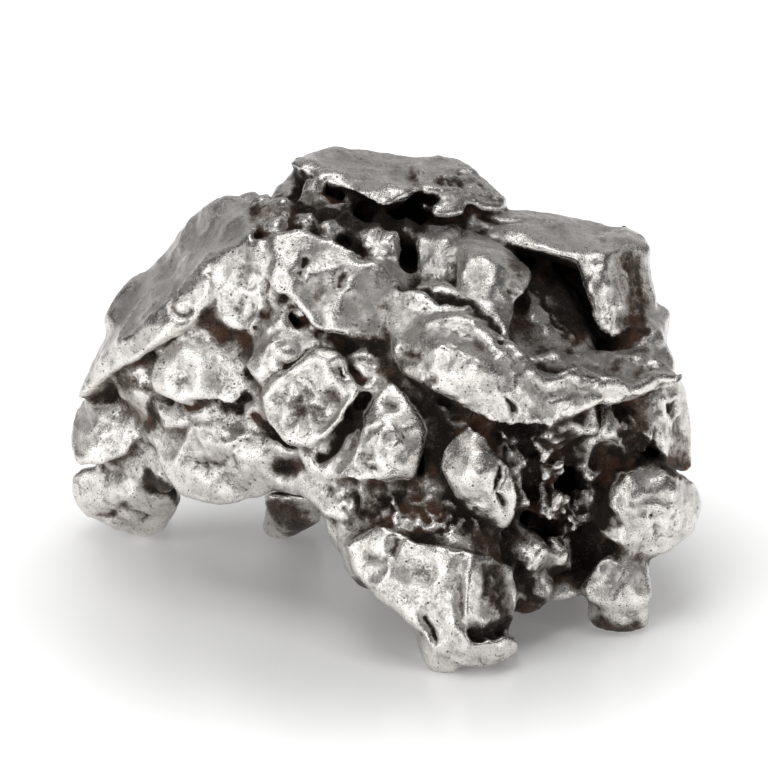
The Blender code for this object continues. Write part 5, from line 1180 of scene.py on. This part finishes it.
def iron_colour(shading, settings, wear_and_shade, marks):
    """The metal's colour: bright to satin with painted highlight and shade, then brown patina and the dark
    of dirty hollows, both also painted shade, rust, painted glints, painted black shade where shut in, and
    black marks.
    """
    colour = shading.mix(wear_and_shade.stain_and_shade * 0.6, (*settings.bright, 1.0), (*settings.satin, 1.0))
    patina_shade = shading.mix((wear_and_shade.shade_and_dirt * 1.8).clamped(), colour, (*settings.patina_shade, 1.0))
    colour = shading.mix(((wear_and_shade.shade_and_dirt - 0.4) * 1.9).clamped(), patina_shade, (*settings.dark, 1.0))
    colour = shading.mix((wear_and_shade.rust * 0.6).clamped(), colour, (*settings.rust, 1.0))
    colour = shading.mix(wear_and_shade.glints, colour, (*settings.satin, 1.0))
    colour = shading.mix(wear_and_shade.deep, colour, SHUT_IN_BLACK)
    black = (marks.pits + marks.specks * 0.6 + marks.scratches * 0.9 + marks.crust * 0.3
             + marks.cracks * 0.4).clamped() * 0.85
    return shading.mix(black, colour, MARK_BLACK)


def iron_bump(shading, pattern, wear_and_shade, marks):
    """The fine relief that is too small for the mesh, coarser where the metal is dirty."""
    coarse = 0.3 + wear_and_shade.shade_and_dirt * 2.0
    height = (pattern.fine * 0.12 + pattern.blotchy * 0.2 + pattern.grain * 0.06) * coarse
    height = height - marks.pits * 0.2 - marks.specks * 0.1 - marks.crust * 0.05
    height = height - marks.cracks * 0.1
    return shading.node("ShaderNodeBump", {}, Strength=1.0, Distance=MM, Height=height)


def bare_iron(settings):
    """Burnished iron: bright on the rims, partly as painted highlight, satin on the faces, brown-black and
    rusty in the hollows, which are dirty and in painted shade.
    """
    shading = Shading("burnished iron")
    place = shading.scaled(shading.place(), (1 / MM, 1 / MM, 1 / MM))
    pattern = iron_patterns(shading, place)
    wear_and_shade = iron_wear_and_shade(shading, place, pattern)
    marks = small_marks(shading, place, pattern, wear_and_shade)
    rough = 0.33 + wear_and_shade.stain_and_shade * 0.08 + wear_and_shade.shade_and_dirt * 0.04 - wear_and_shade.glints * 0.1
    rough = rough + (pattern.fine - 0.5) * 0.3 - wear_and_shade.rim * 0.08
    surface = shading.node("ShaderNodeBsdfPrincipled", {}, **{
        "Base Color": iron_colour(shading, settings, wear_and_shade, marks),
        "Metallic": (1.0 - wear_and_shade.shade_and_dirt * 0.2 - wear_and_shade.rust * 0.4).clamped(),
        "Roughness": rough.clamped(),
        "Normal": iron_bump(shading, pattern, wear_and_shade, marks)})
    shading.node("ShaderNodeOutputMaterial", {}, Surface=surface)
    return shading.material


def pale_floor():
    """A satin white floor that glows as painted light, a little by the stone, for a painted shadow round
    it, and more so away from it.
    """
    shading = Shading("pale floor")
    from_middle = {"operation": "LENGTH"}
    away = shading.node("ShaderNodeVectorMath", from_middle, shading.place(), output=1)
    painted_floor_light = 0.12 + 0.58 * away.ramp(*GLOW_GROWS)
    surface = shading.node("ShaderNodeBsdfPrincipled", {}, **{
        "Base Color": (0.93, 0.93, 0.93, 1.0), "Roughness": 0.28,
        "Emission Color": shading.mix(painted_floor_light, (0.0, 0.0, 0.0, 1.0), (1.0, 1.0, 1.0, 1.0)),
        "Emission Strength": 1.0})
    shading.node("ShaderNodeOutputMaterial", {}, Surface=surface)
    return shading.material


def add_floor(scene):
    """The pale floor that the stone stands on, left out of the object."""
    mesh = bpy.data.meshes.new("floor")
    half = HALF_FLOOR
    mesh.from_pydata([(-half, -half, 0), (half, -half, 0), (half, half, 0), (-half, half, 0)], [],
                     [(0, 1, 2, 3)])
    mesh.materials.append(pale_floor())
    floor = bpy.data.objects.new("floor", mesh)
    scene.collection.objects.link(floor)


def add_soft_light(scene, name, place, aim, width, height, power):
    """One soft light, turned from its place to what it lights."""
    light = bpy.data.lights.new(name, "AREA")
    light.shape = "RECTANGLE"
    light.size = width
    light.size_y = height
    light.energy = power
    lamp = bpy.data.objects.new(name, light)
    lamp.location = place
    lamp.rotation_euler = (Vector(place) - Vector(aim)).to_track_quat("Z", "Y").to_euler()
    scene.collection.objects.link(lamp)


def set_world(scene):
    """The faint, slightly warm light of the room."""
    world = bpy.data.worlds.new("studio")
    scene.world = world
    world.use_nodes = True
    room = world.node_tree.nodes["Background"]
    room.inputs["Color"].default_value = ROOM_COLOUR
    room.inputs["Strength"].default_value = ROOM_STRENGTH
    scene.view_settings.view_transform = "Standard"


def add_camera(scene, settings):
    """A camera far in front of the stone, tipped down at it, whose frame spans frame_width there."""
    camera = bpy.data.cameras.new("camera")
    camera.lens = camera.sensor_width * settings.eye_distance / settings.frame_width
    camera.clip_end = FARTHEST_SEEN
    seat = bpy.data.objects.new("camera", camera)
    middle = seen(*PICTURE_MIDDLE, 0.0) - Vector((*FOOTPRINT_MIDDLE, 0.0))
    seat.location = middle * MM + settings.eye_distance * TOWARDS_EYE
    seat.rotation_euler = TOWARDS_EYE.to_track_quat("Z", "Y").to_euler()
    scene.collection.objects.link(seat)
    scene.camera = seat


class MeteoriteSettings(bpy.types.PropertyGroup):
    """The sizes and colours that a user would change."""

    grain: FloatProperty(name="Grain", description="Size of the skin's grain",
                         default=0.00036, unit="LENGTH")
    relief: FloatProperty(name="Relief", description="Strength of the bowls and dents", default=1.0)
    triangles: IntProperty(name="Triangles", description="Most triangles in the skin", default=190000)
    # Bright goes on rims and high places, partly as painted highlight; satin goes on stained faces, on
    # sunken and down-turned faces as painted shade, and on the painted glints.
    bright: FloatVectorProperty(name="Bright metal", description="Colour of the burnished high places",
                                default=(0.78, 0.748, 0.715), subtype="COLOR")
    satin: FloatVectorProperty(name="Satin metal", description="Colour of the stained faces",
                               default=(0.42, 0.395, 0.375), subtype="COLOR")
    # This brown patina tone follows the hollows, which are dirty and in painted shade.
    patina_shade: FloatVectorProperty(name="Worn patina", description="Colour of the thin patina round the hollows",
                              default=(0.26, 0.215, 0.18), subtype="COLOR")
    # The colour of the hollows, which are dirty and in painted shade.
    dark: FloatVectorProperty(name="Hollows", description="Colour of the dirt in the hollows",
                              default=(0.038, 0.029, 0.023), subtype="COLOR")
    rust: FloatVectorProperty(name="Rust", description="Colour of the rust in the hollows",
                              default=(0.20, 0.085, 0.04), subtype="COLOR")
    eye_distance: FloatProperty(name="Eye distance", description="From the camera to the stone",
                                default=2.0, unit="LENGTH")
    frame_width: FloatProperty(name="Frame width", description="What the camera's frame spans at the stone",
                               default=0.0768, unit="LENGTH")


class METEORITE_OT_skin(bpy.types.Operator):
    """Grows the meteorite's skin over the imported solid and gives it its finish"""

    bl_idname = "meteorite.skin"
    bl_label = "Meteorite skin"

    def execute(self, context):
        settings = context.scene.meteorite
        mesh = meteorite_mesh(settings)
        mesh.name = "meteorite_skin"
        mesh.materials.clear()
        mesh.materials.append(bare_iron(settings))
        skin = bpy.data.objects.new("meteorite_skin", mesh)
        context.scene.collection.objects.link(skin)
        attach(skin, "root")
        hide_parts("meteorite")
        return {"FINISHED"}


class METEORITE_OT_stage(bpy.types.Operator):
    """Sets the pale floor, the soft lights and the camera"""

    bl_idname = "meteorite.stage"
    bl_label = "Stage"

    def execute(self, context):
        add_floor(context.scene)
        for light in SOFT_LIGHTS:
            add_soft_light(context.scene, *light)
        set_world(context.scene)
        add_camera(context.scene, context.scene.meteorite)
        return {"FINISHED"}


class METEORITE_PT_panel(bpy.types.Panel):
    """Lists the pieces and their sizes and colours"""

    bl_idname = "METEORITE_PT_panel"
    bl_label = "Meteorite"
    bl_space_type = "VIEW_3D"
    bl_region_type = "UI"
    bl_category = "Meteorite"

    def draw(self, context):
        column = self.layout.column()
        for name in MeteoriteSettings.__annotations__:
            column.prop(context.scene.meteorite, name)
        for operator in OPERATORS:
            column.operator(operator.bl_idname)


OPERATORS = (METEORITE_OT_skin, METEORITE_OT_stage)
CLASSES = (MeteoriteSettings, *OPERATORS, METEORITE_PT_panel)


def register():
    for item in CLASSES:
        bpy.utils.register_class(item)
    bpy.types.Scene.meteorite = PointerProperty(type=MeteoriteSettings)


def unregister():
    del bpy.types.Scene.meteorite
    for item in reversed(CLASSES):
        bpy.utils.unregister_class(item)


def main():
    register()
    bpy.ops.meteorite.skin()
    bpy.ops.meteorite.stage()


if __name__ == "__main__":
    main()
